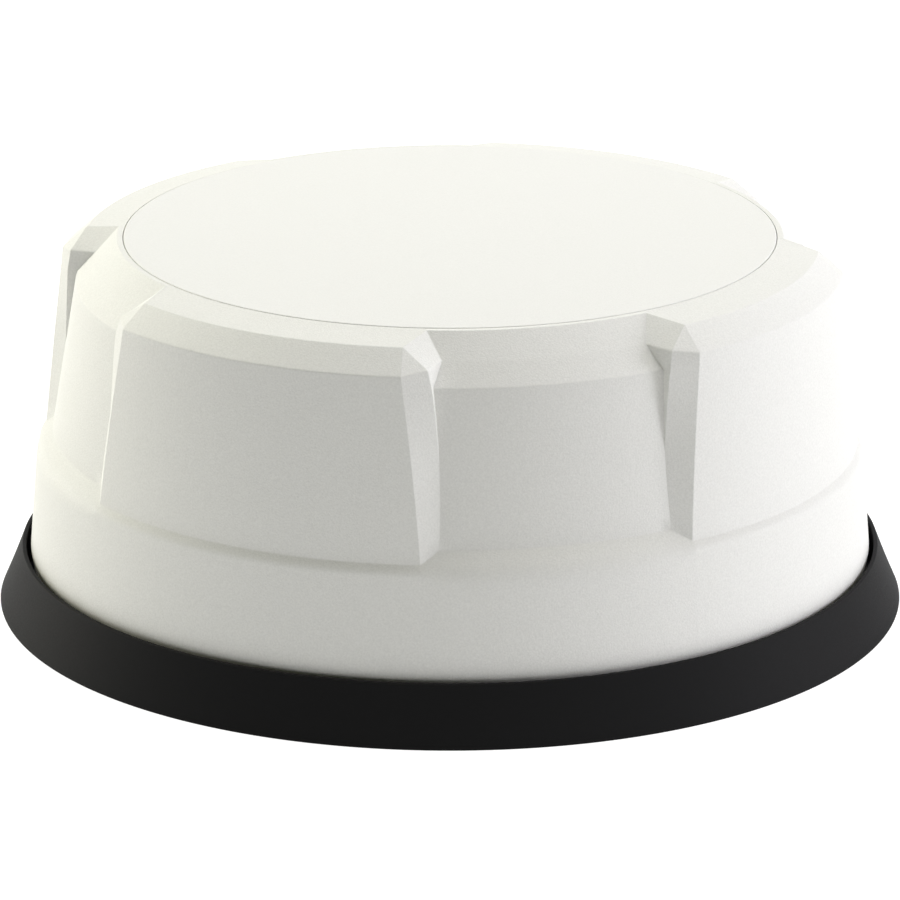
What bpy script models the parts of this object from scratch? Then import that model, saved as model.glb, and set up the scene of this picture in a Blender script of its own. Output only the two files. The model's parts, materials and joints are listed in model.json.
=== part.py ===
"""GNSS receiver: a white radome with four raised lobes on a flared black base ring.

The receiver is an assembly of separate pieces: the housing, the interfaces on its
underside, and the boards and antennas inside. Metres, +Z up. The origin is the centre
of the flat ring that the receiver stands on, and the lobes lie on the X and Y axes.
"""

import math
from collections import namedtuple

import bmesh
import bpy
from mathutils import Matrix, Vector

# ---- driving dimensions ----------------------------------------------------------------

GAP = 0.0003  # clearance between pieces that rest on each other

# Radome. Lobes and recesses share their columns of points, from the top rim down.
LOBE_COUNT = 4
LOBE_STEPS = 8
RECESS_STEPS = 5
DISC_OPENING_RADIUS = 0.0667
DISC_SEAT_Z = 0.0750
DISC_RIM_Z = 0.0766
LAND_RADIUS = 0.06785
LAND_Z = 0.0765
CEILING_Z = 0.0723
BAND_TOP_RADIUS = 0.0847
BAND_TOP_Z = 0.0329
BAND_FOOT_RADIUS = 0.0865
BAND_FOOT_Z = 0.0110
BAND_FOOT_CHAMFER = 0.0005
BAND_INNER_RADIUS = 0.0816
BAND_INNER_TOP_Z = 0.0315
RADOME_BOTTOM_Z = 0.0094
FLANGE_BORE_RADIUS = 0.0760
FLANGE_TOP_Z = 0.0170
FLANGE_ROOT_RADIUS = 0.0833
FLANGE_RISE = 0.0006
RADOME_SHARP_ANGLE = 20.0

# A level of the radome: lobe is (radius, half angle, z), side and root are the two
# corners beside it as (radius, angle, z), and recess is (radius, z). Angles in degrees.
Level = namedtuple("Level", "lobe side root recess")
TOP_RIM = Level((0.0749, 22.95, 0.0752), (0.0749, 22.95, 0.0752),
                (0.0676, 26.0, LAND_Z), (LAND_RADIUS, LAND_Z))
SHOULDER = Level((0.0800, 23.15, 0.0708), (0.0776, 26.75, 0.0715),
                 (0.0723, 28.6, 0.0718), (0.0723, 0.0717))
WALL_TOP = Level((0.0803, 23.4, 0.0675), (0.0782, 27.43, 0.0675),
                 (0.07615, 27.43, 0.0675), (0.07615, 0.0675))
WALL_FOOT = Level((0.0836, 25.95, 0.0343), (0.0814, 28.4, 0.0366),
                  (0.0814, 28.4, 0.0366), (0.0814, 0.0366))
INNER_FOOT = Level((0.0813, 23.6, 0.0340), (0.0787, 26.3, 0.0355),
                   (0.0787, 26.3, 0.0355), (0.0786, 0.0355))
INNER_WALL_TOP = Level((0.0772, 21.2, 0.0670), (0.0757, 25.0, 0.0670),
                       (0.0734, 25.6, 0.0667), (0.0733, 0.0667))
INNER_RIM = Level((0.0736, 20.8, CEILING_Z), (0.0736, 20.8, CEILING_Z),
                  (0.0684, 24.8, CEILING_Z), (0.0683, CEILING_Z))

# The end faces of a lobe swell outwards between top and foot, by these angles times the
# share of the height above and the share below. The step beside a recess fades out on the
# way down.
WALL_STEPS = 2
LOBE_SWELL = 0.9
SIDE_SWELL = 1.86
SIDE_LEAN = 0.00116
OPENING_ANGLES = (22.95, 24.5, 26.0)
BAND_ANGLES = (26.0, 27.25, 28.5)

# Cover disc on top
DISC_RADIUS = 0.0663
DISC_CROWN = 0.0010
DISC_RINGS = 3
DISC_EDGE = 0.0002
DISC_STEPS = 68

# Flared base ring
SKIRT_RADIUS = 0.0930
SKIRT_FOOT_EDGE = 0.0002
FLARE_STEPS = 3
FLARE_HOLLOW = 0.0001
SKIRT_BORE_RADIUS = 0.0790
SKIRT_SHELF_Z = 0.0037
LIP_RADIUS = 0.0882
LIP_INNER_RADIUS = 0.0874
LIP_Z = 0.0118
LIP_EDGE = 0.0002
ROUND_STEPS = 60

# Base casting
PLATE_BOTTOM_Z = 0.0010
PLATE_TOP_Z = 0.0060
PLATE_RADIUS = 0.0787
BASE_FLANGE_RADIUS = 0.0860
BASE_FLANGE_BOTTOM_Z = SKIRT_SHELF_Z + GAP
BASE_FLANGE_TOP_Z = 0.0091
BASE_POCKET_RADIUS = 0.0752
SEAL_RADIUS = 0.0790
SEAL_GROOVE_WIDTH = 0.0028
SEAL_GROOVE_Z = 0.0070
PLATE_EDGE = 0.0006
TOOL_REACH = 0.001  # how far a cutting shape stands out of the face it cuts

# Screws that clamp the ring, the casting and the radome
HOUSING_SCREWS = 6
SCREW_CIRCLE_RADIUS = 0.0833
SCREW_HOLE_RADIUS = 0.0018
SCREW_HEAD_Z = 0.0005
SCREW_HEAD_HEIGHT = 0.0020
SCREW_TIP_Z = 0.0150
SCREW_HEAD_RADIUS = 0.0030
SCREW_SHANK_RADIUS = 0.0015
SCREW_HOLE_DEPTH_OVER = 0.0008
SOCKET_RADIUS = 0.0012
SOCKET_DEPTH = 0.0012
COUNTERBORE_RADIUS = 0.0033

# Pole insert in the middle, for a 5/8 inch survey thread
INSERT_RADIUS = 0.0120
INSERT_BORE_RADIUS = 0.0069
INSERT_BOTTOM_Z = 0.0005
INSERT_TOP_Z = 0.0187
INSERT_EDGE = 0.0006
BOSS_RADIUS = 0.0155
BOSS_TOP_Z = 0.0215

# Connector well
WELL_Y = 0.0440
WELL_RADIUS = 0.0170
WELL_CEILING_Z = 0.0220
WELL_WALL = 0.0025
SHELL_RADIUS = 0.0080
SHELL_BORE_RADIUS = 0.0064
SHELL_MOUTH_Z = 0.0075
SHELL_HEX_RADIUS = 0.0115
STUD_RADIUS = 0.0070
STUD_TOP_Z = 0.0290
CONTACT_FACE_Z = 0.0140
CAP_BOTTOM_Z = 0.0036
CAP_RING_RADIUS = 0.0108
CAP_RING_RIBS = 24
CAP_RING_TOP_Z = 0.0142
CAP_RING_EDGE = 0.0006
CAP_RIB_DEPTH = 0.0005
CAP_FACE_RADIUS = 0.0062
CAP_FACE_STEP = 0.0014
CAP_PLUG_RADIUS = 0.0078
CONNECTOR_SEAL_RADIUS = 0.0100
CONNECTOR_SEAL_HEIGHT = 0.0010
SHELL_HEX_HEIGHT = 0.0025
SHELL_STUD_WALL = 0.0010
SHELL_STEP_OVER_FACE = 0.0020
NUT_RADIUS = 0.0108
NUT_HEIGHT = 0.0030
CONTACT_BODY_RADIUS = 0.0060
CONTACT_NECK_RADIUS = 0.0050
CONTACT_HEAD_HEIGHT = 0.0016
CONTACT_TAIL = 0.0006

# Service well and its door
DOOR_HALF_WIDTH = 0.0165
DOOR_FAR_Y = -0.0546
DOOR_NEAR_Y = -0.0364
DOOR_BOTTOM_Z = 0.0013
DOOR_TOP_Z = 0.0033
HINGE_Y = -0.0346
HINGE_Z = 0.0024
KNUCKLE_RADIUS = 0.0014
PIN_RADIUS = 0.0008
SERVICE_CEILING_Z = 0.0160
DOOR_EDGE = 0.0003
DOOR_CLEARANCE = 0.0004
KNUCKLE_HALF_LENGTH = 0.0120
PIN_HALF_LENGTH = 0.0187
PIN_HOLE_HALF_LENGTH = 0.0190
OPENING_NEAR_Y = -0.0324
OPENING_CEILING_Z = 0.0049
SERVICE_HALF_WIDTH = 0.0143
SERVICE_FAR_Y = -0.0526
SERVICE_NEAR_Y = -0.0382
DOOR_SEAL_BORDER = 0.0015
DOOR_SEAL_TOP_Z = 0.0046
SOCKET_HEIGHT = 0.0055
SOCKET_SLOT_DEPTH = 0.0040
SOCKET_EDGE = 0.0002

# Power key and pressure vent
KEY_X = 0.0440
KEY_RADIUS = 0.0050
KEY_STEM_TOP_Z = 0.0260
KEY_FLANGE_RADIUS = 0.0075
KEY_FLANGE_HEIGHT = 0.0012
KEY_STEM_RADIUS = 0.0020
KEY_GASKET_RADIUS = 0.0078
KEY_GASKET_HEIGHT = 0.0010
SWITCH_HALF_WIDTH = 0.0035
SWITCH_GAP = 0.0010
VENT_X = -0.0440
VENT_RADIUS = 0.0058
VENT_FACE_RADIUS = 0.0050
VENT_NECK_RADIUS = 0.0025
VENT_HOLE_RADIUS = 0.0028
VENT_RECESS_RADIUS = 0.0065
VENT_RECESS_Z = 0.0032

# Boards and antennas
POST_OFFSET = 0.0400
BOARD_RADIUS = 0.0640
BOARD_BOTTOM_Z = 0.0300
BOARD_TOP_Z = 0.0316
PLANE_RADIUS = 0.0660
PLANE_BOTTOM_Z = 0.0460
PLANE_TOP_Z = 0.0475
ANTENNA_BOARD_TOP_Z = 0.0494
ANTENNA_BOARD_RADIUS = 0.0500
PLANE_WALL = 0.0015
PLANE_RIM_HEIGHT = 0.0050
PLANE_EDGE = 0.0010
POST_HEX_RADIUS = 0.0032
POST_BORE_RADIUS = 0.0016
POST_STUD_RADIUS = 0.0012
POST_HOLE_RADIUS = 0.0017
LOWER_BORE_Z = 0.0240
UPPER_STUD_Z = 0.0250
UPPER_BORE_Z = 0.0380
PLANE_SCREW_TIP_Z = 0.0400
PLANE_SCREW_HEAD_RADIUS = 0.0026
PLANE_SCREW_HEAD_HEIGHT = 0.0018
PATCH_LOWER_HALF = 0.0300
PATCH_LOWER_HEIGHT = 0.0080
PATCH_UPPER_HALF = 0.0210
PATCH_UPPER_HEIGHT = 0.0060
ELECTRODE_HALF = 0.0170
ELECTRODE_HEIGHT = 0.0004
COAX_RADIUS = 0.0007
COAX_STEPS = 12
LOBE_ANTENNA_INNER_RADIUS = 0.0752
LOBE_ANTENNA_OUTER_RADIUS = 0.0762
LOBE_ANTENNA_LOW_Z = 0.0400
LOBE_ANTENNA_HIGH_Z = 0.0620
LOBE_ANTENNA_HALF_ANGLE = 17.0
LOBE_ANTENNA_STEPS = 8


# ---- materials --------------------------------------------------------------------------

def material(name, colour, roughness, metallic=0.0):
    made = bpy.data.materials.new(name)
    made.use_nodes = True
    shader = made.node_tree.nodes["Principled BSDF"]
    shader.inputs["Base Color"].default_value = (*colour, 1.0)
    shader.inputs["Roughness"].default_value = roughness
    shader.inputs["Metallic"].default_value = metallic
    return made


def make_materials():
    return {
        "radome_plastic": material("radome_plastic", (0.86, 0.86, 0.83), 0.55),
        "disc_plastic": material("disc_plastic", (0.88, 0.88, 0.85), 0.50),
        "skirt_plastic": material("skirt_plastic", (0.012, 0.012, 0.013), 0.42),
        "cast_aluminium": material("cast_aluminium", (0.52, 0.53, 0.54), 0.48, 1.0),
        "spun_aluminium": material("spun_aluminium", (0.74, 0.75, 0.76), 0.30, 1.0),
        "steel": material("steel", (0.62, 0.62, 0.61), 0.28, 1.0),
        "brass": material("brass", (0.78, 0.58, 0.26), 0.30, 1.0),
        "rubber": material("rubber", (0.02, 0.02, 0.02), 0.75),
        "black_plastic": material("black_plastic", (0.025, 0.025, 0.027), 0.50),
        "board": material("board", (0.02, 0.16, 0.07), 0.45),
        "ceramic": material("ceramic", (0.72, 0.66, 0.55), 0.60),
        "shield": material("shield", (0.68, 0.68, 0.66), 0.35, 1.0),
        "copper": material("copper", (0.82, 0.46, 0.28), 0.30, 1.0),
    }


# ---- shape tools ------------------------------------------------------------------------

def new_object(name, mesh_builder, stuff, sharp_angle=35.0):
    """An object whose mesh is the finished bmesh."""
    bmesh.ops.remove_doubles(mesh_builder, verts=mesh_builder.verts, dist=1e-7)
    bmesh.ops.recalc_face_normals(mesh_builder, faces=mesh_builder.faces)
    mesh = bpy.data.meshes.new(name)
    mesh_builder.to_mesh(mesh)
    mesh_builder.free()
    mesh.shade_smooth()
    mesh.set_sharp_from_angle(angle=math.radians(sharp_angle))
    made = bpy.data.objects.new(name, mesh)
    bpy.context.scene.collection.objects.link(made)
    if stuff is not None:
        mesh.materials.append(stuff)
    return made


def polar(radius, degrees, z):
    angle = math.radians(degrees)
    return Vector((radius * math.cos(angle), radius * math.sin(angle), z))


def bridge(builder, lower, upper):
    """Faces between two closed rings with the same number of points."""
    count = len(lower)
    for i in range(count):
        j = (i + 1) % count
        builder.faces.new([lower[i], lower[j], upper[j], upper[i]])


def fan(builder, ring, centre):
    apex = builder.verts.new(centre)
    for i, vertex in enumerate(ring):
        builder.faces.new([vertex, ring[(i + 1) % len(ring)], apex])


def turned(name, profile, stuff, centre=(0.0, 0.0), steps=ROUND_STEPS, turn=0.0):
    """A solid of revolution. The profile is (radius, z) points round a closed outline;
    it may start and end on the axis. turn is where its first edge stands, in degrees."""
    builder = bmesh.new()
    touches_axis = profile[0][0] == 0.0
    rings = []
    for radius, z in profile[1:-1] if touches_axis else profile:
        points = [polar(radius, turn + 360.0 * i / steps, z) for i in range(steps)]
        rings.append([builder.verts.new(point + Vector((*centre, 0.0))) for point in points])
    if touches_axis:
        close_end(builder, rings[0], (*centre, profile[0][1]))
        close_end(builder, rings[-1], (*centre, profile[-1][1]))
    else:
        bridge(builder, rings[-1], rings[0])
    for first, second in zip(rings, rings[1:]):
        bridge(builder, first, second)
    return new_object(name, builder, stuff)


def close_end(builder, ring, apex):
    """One flat face over a ring, or a fan up to an apex that stands out of its plane."""
    if abs(ring[0].co.z - apex[2]) < 1e-9:
        builder.faces.new(ring)
    else:
        fan(builder, ring, apex)


def block(name, low, high, stuff, bevel=0.0):
    """A box between two corners, with bevelled edges."""
    builder = bmesh.new()
    bmesh.ops.create_cube(builder, size=1.0)
    low, high = Vector(low), Vector(high)
    for vertex in builder.verts:
        share = vertex.co + Vector((0.5, 0.5, 0.5))
        vertex.co = Vector([low[k] + (high[k] - low[k]) * share[k] for k in range(3)])
    if bevel:
        bmesh.ops.bevel(builder, geom=list(builder.edges), offset=bevel, segments=1,
                        affect="EDGES")
    return new_object(name, builder, stuff)


def rod_x(name, half_length, radius, centre, stuff, steps=16):
    """A round bar along X."""
    made = turned(name, [(0.0, -half_length), (radius, -half_length),
                         (radius, half_length), (0.0, half_length)], stuff, steps=steps)
    made.data.transform(Matrix.Rotation(math.radians(90.0), 4, "Y"))
    made.data.transform(Matrix.Translation(centre))
    return made


def helper(made):
    """Marks an object as a construction shape that is not a piece of the receiver."""
    made.hide_render = True
    made.display_type = "WIRE"
    made.hide_set(True)
    return made


def boolean(target, other, operation):
    modifier = target.modifiers.new(operation.lower() + "_" + other.name, "BOOLEAN")
    modifier.operation = operation
    modifier.solver = "EXACT"
    modifier.object = helper(other)


def cut(target, other):
    boolean(target, other, "DIFFERENCE")


def add(target, other):
    boolean(target, other, "UNION")


def cylinder_tool(name, radius, low_z, high_z, centre, steps=24):
    """A cylinder for a Boolean, turned half a step so that no corner meets a target's edge."""
    return turned(name, [(0.0, low_z), (radius, low_z), (radius, high_z), (0.0, high_z)],
                  None, centre, steps, 180.0 / steps)


def set_origin(made, point):
    """Puts a moving piece's origin on its joint's axis."""
    made.data.transform(Matrix.Translation(-Vector(point)))
    made.location = point


# ---- radome and housing -----------------------------------------------------------------

def level_points(level):
    """The closed ring of points of one level, anticlockwise from above."""
    pitch = 360.0 / LOBE_COUNT
    radius, half, z = level.lobe
    points = []
    for lobe in range(LOBE_COUNT):
        centre = lobe * pitch
        points.append(polar(level.root[0], centre - level.root[1], level.root[2]))
        points.append(polar(level.side[0], centre - level.side[1], level.side[2]))
        for step in range(LOBE_STEPS + 1):
            points.append(polar(radius, centre + half * (2.0 * step / LOBE_STEPS - 1.0), z))
        points.append(polar(level.side[0], centre + level.side[1], level.side[2]))
        points.append(polar(level.root[0], centre + level.root[1], level.root[2]))
        span = pitch - 2.0 * level.root[1]
        for step in range(1, RECESS_STEPS):
            angle = centre + level.root[1] + span * step / RECESS_STEPS
            points.append(polar(level.recess[0], angle, level.recess[1]))
    return points


def circle_level(radius, z, angles=BAND_ANGLES):
    """A plain circle with the same columns as the lobed levels."""
    half, side, root = angles
    return Level((radius, half, z), (radius, side, z), (radius, root, z), (radius, z))


def wall_level(share):
    """A level of the leaning walls, share of the way from their top to their foot."""
    lobe, side, root, recess = [
        [top + (foot - top) * share for top, foot in zip(high, low)]
        for high, low in zip(WALL_TOP, WALL_FOOT)]
    lobe[1] += LOBE_SWELL * share * (1.0 - share)
    side[1] += SIDE_SWELL * share * (1.0 - share)
    side[0] = max(WALL_TOP.side[0] + SIDE_LEAN * share, recess[0])
    root[1] = side[1]
    return Level(lobe, side, root, recess)


def screw_positions():
    for i in range(HOUSING_SCREWS):
        yield i + 1, polar(SCREW_CIRCLE_RADIUS, 30.0 + 360.0 * i / HOUSING_SCREWS, 0.0)


def drill_screw_holes(target, low_z, high_z):
    for number, place in screw_positions():
        cut(target, cylinder_tool(f"{target.name}_drill_{number}", SCREW_HOLE_RADIUS,
                                  low_z, high_z, place.xy, 12))


def make_radome(stuff):
    levels = [
        circle_level(DISC_OPENING_RADIUS, DISC_SEAT_Z, OPENING_ANGLES),
        circle_level(DISC_OPENING_RADIUS, LAND_Z, OPENING_ANGLES),
        TOP_RIM,
        SHOULDER,
        *[wall_level(step / WALL_STEPS) for step in range(WALL_STEPS + 1)],
        circle_level(BAND_TOP_RADIUS, BAND_TOP_Z),
        circle_level(BAND_FOOT_RADIUS, BAND_FOOT_Z),
        circle_level(BAND_FOOT_RADIUS - BAND_FOOT_CHAMFER, RADOME_BOTTOM_Z),
        circle_level(FLANGE_BORE_RADIUS, RADOME_BOTTOM_Z),
        circle_level(FLANGE_BORE_RADIUS, FLANGE_TOP_Z),
        circle_level(FLANGE_ROOT_RADIUS, FLANGE_TOP_Z + FLANGE_RISE),
        circle_level(BAND_INNER_RADIUS, BAND_INNER_TOP_Z),
        INNER_FOOT,
        INNER_WALL_TOP,
        INNER_RIM,
    ]
    builder = bmesh.new()
    rings = [[builder.verts.new(p) for p in level_points(level)] for level in levels]
    for upper, lower in zip(rings, rings[1:]):
        bridge(builder, upper, lower)
    fan(builder, rings[0], (0.0, 0.0, DISC_SEAT_Z))
    fan(builder, rings[-1], (0.0, 0.0, CEILING_Z))
    bmesh.ops.remove_doubles(builder, verts=builder.verts, dist=1e-6)
    made = new_object("radome", builder, stuff["radome_plastic"], RADOME_SHARP_ANGLE)
    drill_screw_holes(made, RADOME_BOTTOM_Z - TOOL_REACH, SCREW_TIP_Z + SCREW_HOLE_DEPTH_OVER)


def make_top_disc(stuff):
    """The cover disc, slightly crowned, in its rebate in the radome."""
    bottom = DISC_SEAT_Z + GAP
    profile = [(0.0, bottom), (DISC_RADIUS, bottom), (DISC_RADIUS, DISC_RIM_Z - DISC_EDGE),
               (DISC_RADIUS - DISC_EDGE, DISC_RIM_Z)]
    for ring in range(DISC_RINGS - 1, -1, -1):
        share = ring / DISC_RINGS
        profile.append((DISC_RADIUS * share, DISC_RIM_Z + DISC_CROWN * (1.0 - share ** 2)))
    turned("top_disc", profile, stuff["disc_plastic"], steps=DISC_STEPS)


def make_skirt_ring(stuff):
    """The flared ring, slightly hollow on its outside, with a thin lip round the radome."""
    profile = [(SKIRT_BORE_RADIUS, 0.0), (SKIRT_RADIUS - SKIRT_FOOT_EDGE, 0.0),
               (SKIRT_RADIUS, SKIRT_FOOT_EDGE)]
    flare_height = LIP_Z - LIP_EDGE - SKIRT_FOOT_EDGE
    for step in range(1, FLARE_STEPS + 1):
        share = step / FLARE_STEPS
        hollow = FLARE_HOLLOW * 4.0 * share * (1.0 - share)
        radius = SKIRT_RADIUS + (LIP_RADIUS - SKIRT_RADIUS) * share - hollow
        profile.append((radius, SKIRT_FOOT_EDGE + flare_height * share))
    profile += [(LIP_RADIUS - LIP_EDGE, LIP_Z), (LIP_INNER_RADIUS, LIP_Z),
                (LIP_INNER_RADIUS, SKIRT_SHELF_Z), (SKIRT_BORE_RADIUS, SKIRT_SHELF_Z)]
    made = turned("skirt_ring", profile, stuff["skirt_plastic"])
    drill_screw_holes(made, -TOOL_REACH, SKIRT_SHELF_Z + TOOL_REACH)
    for number, place in screw_positions():
        tool = cylinder_tool(f"skirt_counterbore_{number}", COUNTERBORE_RADIUS, -TOOL_REACH,
                             SCREW_HEAD_Z + SCREW_HEAD_HEIGHT + GAP, place.xy, 16)
        cut(made, tool)


def make_base_casting(stuff):
    """The cast base: plate, flange and seal groove, with wells that rise inside."""
    groove_in = SEAL_RADIUS - SEAL_GROOVE_WIDTH / 2
    groove_out = SEAL_RADIUS + SEAL_GROOVE_WIDTH / 2
    profile = [
        (0.0, PLATE_BOTTOM_Z), (PLATE_RADIUS - PLATE_EDGE, PLATE_BOTTOM_Z),
        (PLATE_RADIUS, PLATE_BOTTOM_Z + PLATE_EDGE), (PLATE_RADIUS, BASE_FLANGE_BOTTOM_Z),
        (BASE_FLANGE_RADIUS, BASE_FLANGE_BOTTOM_Z), (BASE_FLANGE_RADIUS, BASE_FLANGE_TOP_Z),
        (groove_out, BASE_FLANGE_TOP_Z), (groove_out, SEAL_GROOVE_Z),
        (groove_in, SEAL_GROOVE_Z), (groove_in, BASE_FLANGE_TOP_Z),
        (BASE_POCKET_RADIUS, BASE_FLANGE_TOP_Z), (BASE_POCKET_RADIUS - PLATE_EDGE, PLATE_TOP_Z),
        (0.0, PLATE_TOP_Z),
    ]
    made = turned("base_casting", profile, stuff["cast_aluminium"])
    sunk = PLATE_TOP_Z - TOOL_REACH
    through = PLATE_TOP_Z + TOOL_REACH
    well = (0.0, WELL_Y)
    key = (KEY_X, 0.0)
    vent = (VENT_X, 0.0)
    service_wall_x = SERVICE_HALF_WIDTH + WELL_WALL
    add(made, cylinder_tool("boss_solid", BOSS_RADIUS, sunk, BOSS_TOP_Z, (0.0, 0.0), 32))
    add(made, cylinder_tool("well_solid", WELL_RADIUS + WELL_WALL, sunk,
                            WELL_CEILING_Z + WELL_WALL, well, 40))
    add(made, block("service_solid", (-service_wall_x, SERVICE_FAR_Y - WELL_WALL, sunk),
                    (service_wall_x, SERVICE_NEAR_Y + WELL_WALL, SERVICE_CEILING_Z + WELL_WALL),
                    None))
    cut(made, cylinder_tool("insert_pocket", INSERT_RADIUS + GAP, -TOOL_REACH,
                            INSERT_TOP_Z + GAP, (0.0, 0.0), 40))
    cut(made, cylinder_tool("well_hollow", WELL_RADIUS, -TOOL_REACH, WELL_CEILING_Z, well, 40))
    cut(made, cylinder_tool("stud_hole", STUD_RADIUS + GAP, WELL_CEILING_Z - TOOL_REACH,
                            WELL_CEILING_Z + WELL_WALL + TOOL_REACH, well, 24))
    opening_x = DOOR_HALF_WIDTH + DOOR_CLEARANCE
    cut(made, block("door_opening", (-opening_x, DOOR_FAR_Y - DOOR_CLEARANCE, -TOOL_REACH),
                    (opening_x, OPENING_NEAR_Y, OPENING_CEILING_Z), None))
    cut(made, block("service_hollow",
                    (-SERVICE_HALF_WIDTH, SERVICE_FAR_Y, OPENING_CEILING_Z - TOOL_REACH),
                    (SERVICE_HALF_WIDTH, SERVICE_NEAR_Y, SERVICE_CEILING_Z), None))
    cut(made, rod_x("pin_holes", PIN_HOLE_HALF_LENGTH, PIN_RADIUS + GAP / 2,
                    (0.0, HINGE_Y, HINGE_Z), None))
    cut(made, cylinder_tool("key_hole", KEY_RADIUS + GAP, -TOOL_REACH, through, key, 24))
    cut(made, cylinder_tool("vent_hole", VENT_HOLE_RADIUS, -TOOL_REACH, through, vent, 16))
    cut(made, cylinder_tool("vent_recess", VENT_RECESS_RADIUS, -TOOL_REACH, VENT_RECESS_Z,
                            vent, 24))
    drill_screw_holes(made, BASE_FLANGE_BOTTOM_Z - TOOL_REACH, BASE_FLANGE_TOP_Z + TOOL_REACH)


def make_housing_seal(stuff):
    half = SEAL_GROOVE_WIDTH / 2 - GAP
    low, high = SEAL_GROOVE_Z + GAP, RADOME_BOTTOM_Z - GAP
    inner, outer = SEAL_RADIUS - half, SEAL_RADIUS + half
    turned("housing_seal", [(inner, low), (outer, low), (outer, high), (inner, high)],
           stuff["rubber"], steps=48)


def make_housing_screws(stuff):
    """Button-head screws with a socket, heads down in the ring's counterbores."""
    head_top = SCREW_HEAD_Z + SCREW_HEAD_HEIGHT
    socket_top = SCREW_HEAD_Z + SOCKET_DEPTH
    button = 0.0005
    profile = [(0.0, socket_top), (SOCKET_RADIUS, socket_top), (SOCKET_RADIUS, SCREW_HEAD_Z),
               (SCREW_HEAD_RADIUS - button, SCREW_HEAD_Z),
               (SCREW_HEAD_RADIUS, SCREW_HEAD_Z + button), (SCREW_HEAD_RADIUS, head_top),
               (SCREW_SHANK_RADIUS, head_top), (SCREW_SHANK_RADIUS, SCREW_TIP_Z),
               (0.0, SCREW_TIP_Z)]
    for number, place in screw_positions():
        turned(f"housing_screw_{number}", profile, stuff["steel"], place.xy, 12)


def make_pole_insert(stuff):
    bevel_z = INSERT_BOTTOM_Z + INSERT_EDGE
    turned("pole_insert", [
        (INSERT_BORE_RADIUS + INSERT_EDGE, INSERT_BOTTOM_Z),
        (INSERT_RADIUS - INSERT_EDGE, INSERT_BOTTOM_Z), (INSERT_RADIUS, bevel_z),
        (INSERT_RADIUS, INSERT_TOP_Z), (INSERT_BORE_RADIUS, INSERT_TOP_Z),
        (INSERT_BORE_RADIUS, bevel_z),
    ], stuff["brass"], steps=40)


def make_pressure_vent(stuff):
    face, rim, back, top = 0.0014, 0.0020, VENT_RECESS_Z - GAP, 0.0085
    turned("pressure_vent", [
        (0.0, face), (VENT_FACE_RADIUS, face), (VENT_RADIUS, rim), (VENT_RADIUS, back),
        (VENT_NECK_RADIUS, back), (VENT_NECK_RADIUS, top), (0.0, top),
    ], stuff["black_plastic"], (VENT_X, 0.0), 24)


# ---- connector, service door and power key ----------------------------------------------

def make_connector(stuff):
    """The circular connector that hangs from the ceiling of its well."""
    centre = (0.0, WELL_Y)
    seal_low = WELL_CEILING_Z - GAP - CONNECTOR_SEAL_HEIGHT
    hex_top = seal_low - GAP
    hex_bottom = hex_top - SHELL_HEX_HEIGHT
    mouth_edge = 0.0004
    stud_bore = SHELL_BORE_RADIUS - SHELL_STUD_WALL
    step_z = CONTACT_FACE_Z + SHELL_STEP_OVER_FACE
    shell = turned("connector_shell", [
        (SHELL_BORE_RADIUS, SHELL_MOUTH_Z), (SHELL_RADIUS - mouth_edge, SHELL_MOUTH_Z),
        (SHELL_RADIUS, SHELL_MOUTH_Z + mouth_edge), (SHELL_RADIUS, hex_top),
        (STUD_RADIUS, hex_top), (STUD_RADIUS, STUD_TOP_Z), (stud_bore, STUD_TOP_Z),
        (stud_bore, step_z), (SHELL_BORE_RADIUS, step_z),
    ], stuff["steel"], centre, 32)
    add(shell, turned("shell_hex", [
        (SHELL_RADIUS - GAP, hex_bottom), (SHELL_HEX_RADIUS, hex_bottom),
        (SHELL_HEX_RADIUS, hex_top), (SHELL_RADIUS - GAP, hex_top),
    ], None, centre, 6))
    neck_z = CONTACT_FACE_Z + CONTACT_HEAD_HEIGHT
    tail_z = STUD_TOP_Z + CONTACT_TAIL
    turned("connector_insert", [
        (0.0, CONTACT_FACE_Z), (CONTACT_BODY_RADIUS, CONTACT_FACE_Z),
        (CONTACT_BODY_RADIUS, neck_z), (CONTACT_NECK_RADIUS, neck_z),
        (CONTACT_NECK_RADIUS, tail_z), (0.0, tail_z),
    ], stuff["black_plastic"], centre, 24)
    seal_high = WELL_CEILING_Z - GAP
    turned("connector_seal", [
        (STUD_RADIUS + GAP, seal_low), (CONNECTOR_SEAL_RADIUS, seal_low),
        (CONNECTOR_SEAL_RADIUS, seal_high), (STUD_RADIUS + GAP, seal_high),
    ], stuff["rubber"], centre, 32)
    nut_low = WELL_CEILING_Z + WELL_WALL + GAP
    nut_high = nut_low + NUT_HEIGHT
    nut = turned("connector_nut", [
        (0.0, nut_low), (NUT_RADIUS, nut_low), (NUT_RADIUS, nut_high), (0.0, nut_high),
    ], stuff["steel"], centre, 6)
    cut(nut, cylinder_tool("nut_bore", STUD_RADIUS + GAP, nut_low - TOOL_REACH,
                           nut_high + TOOL_REACH, centre, 32))


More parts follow.
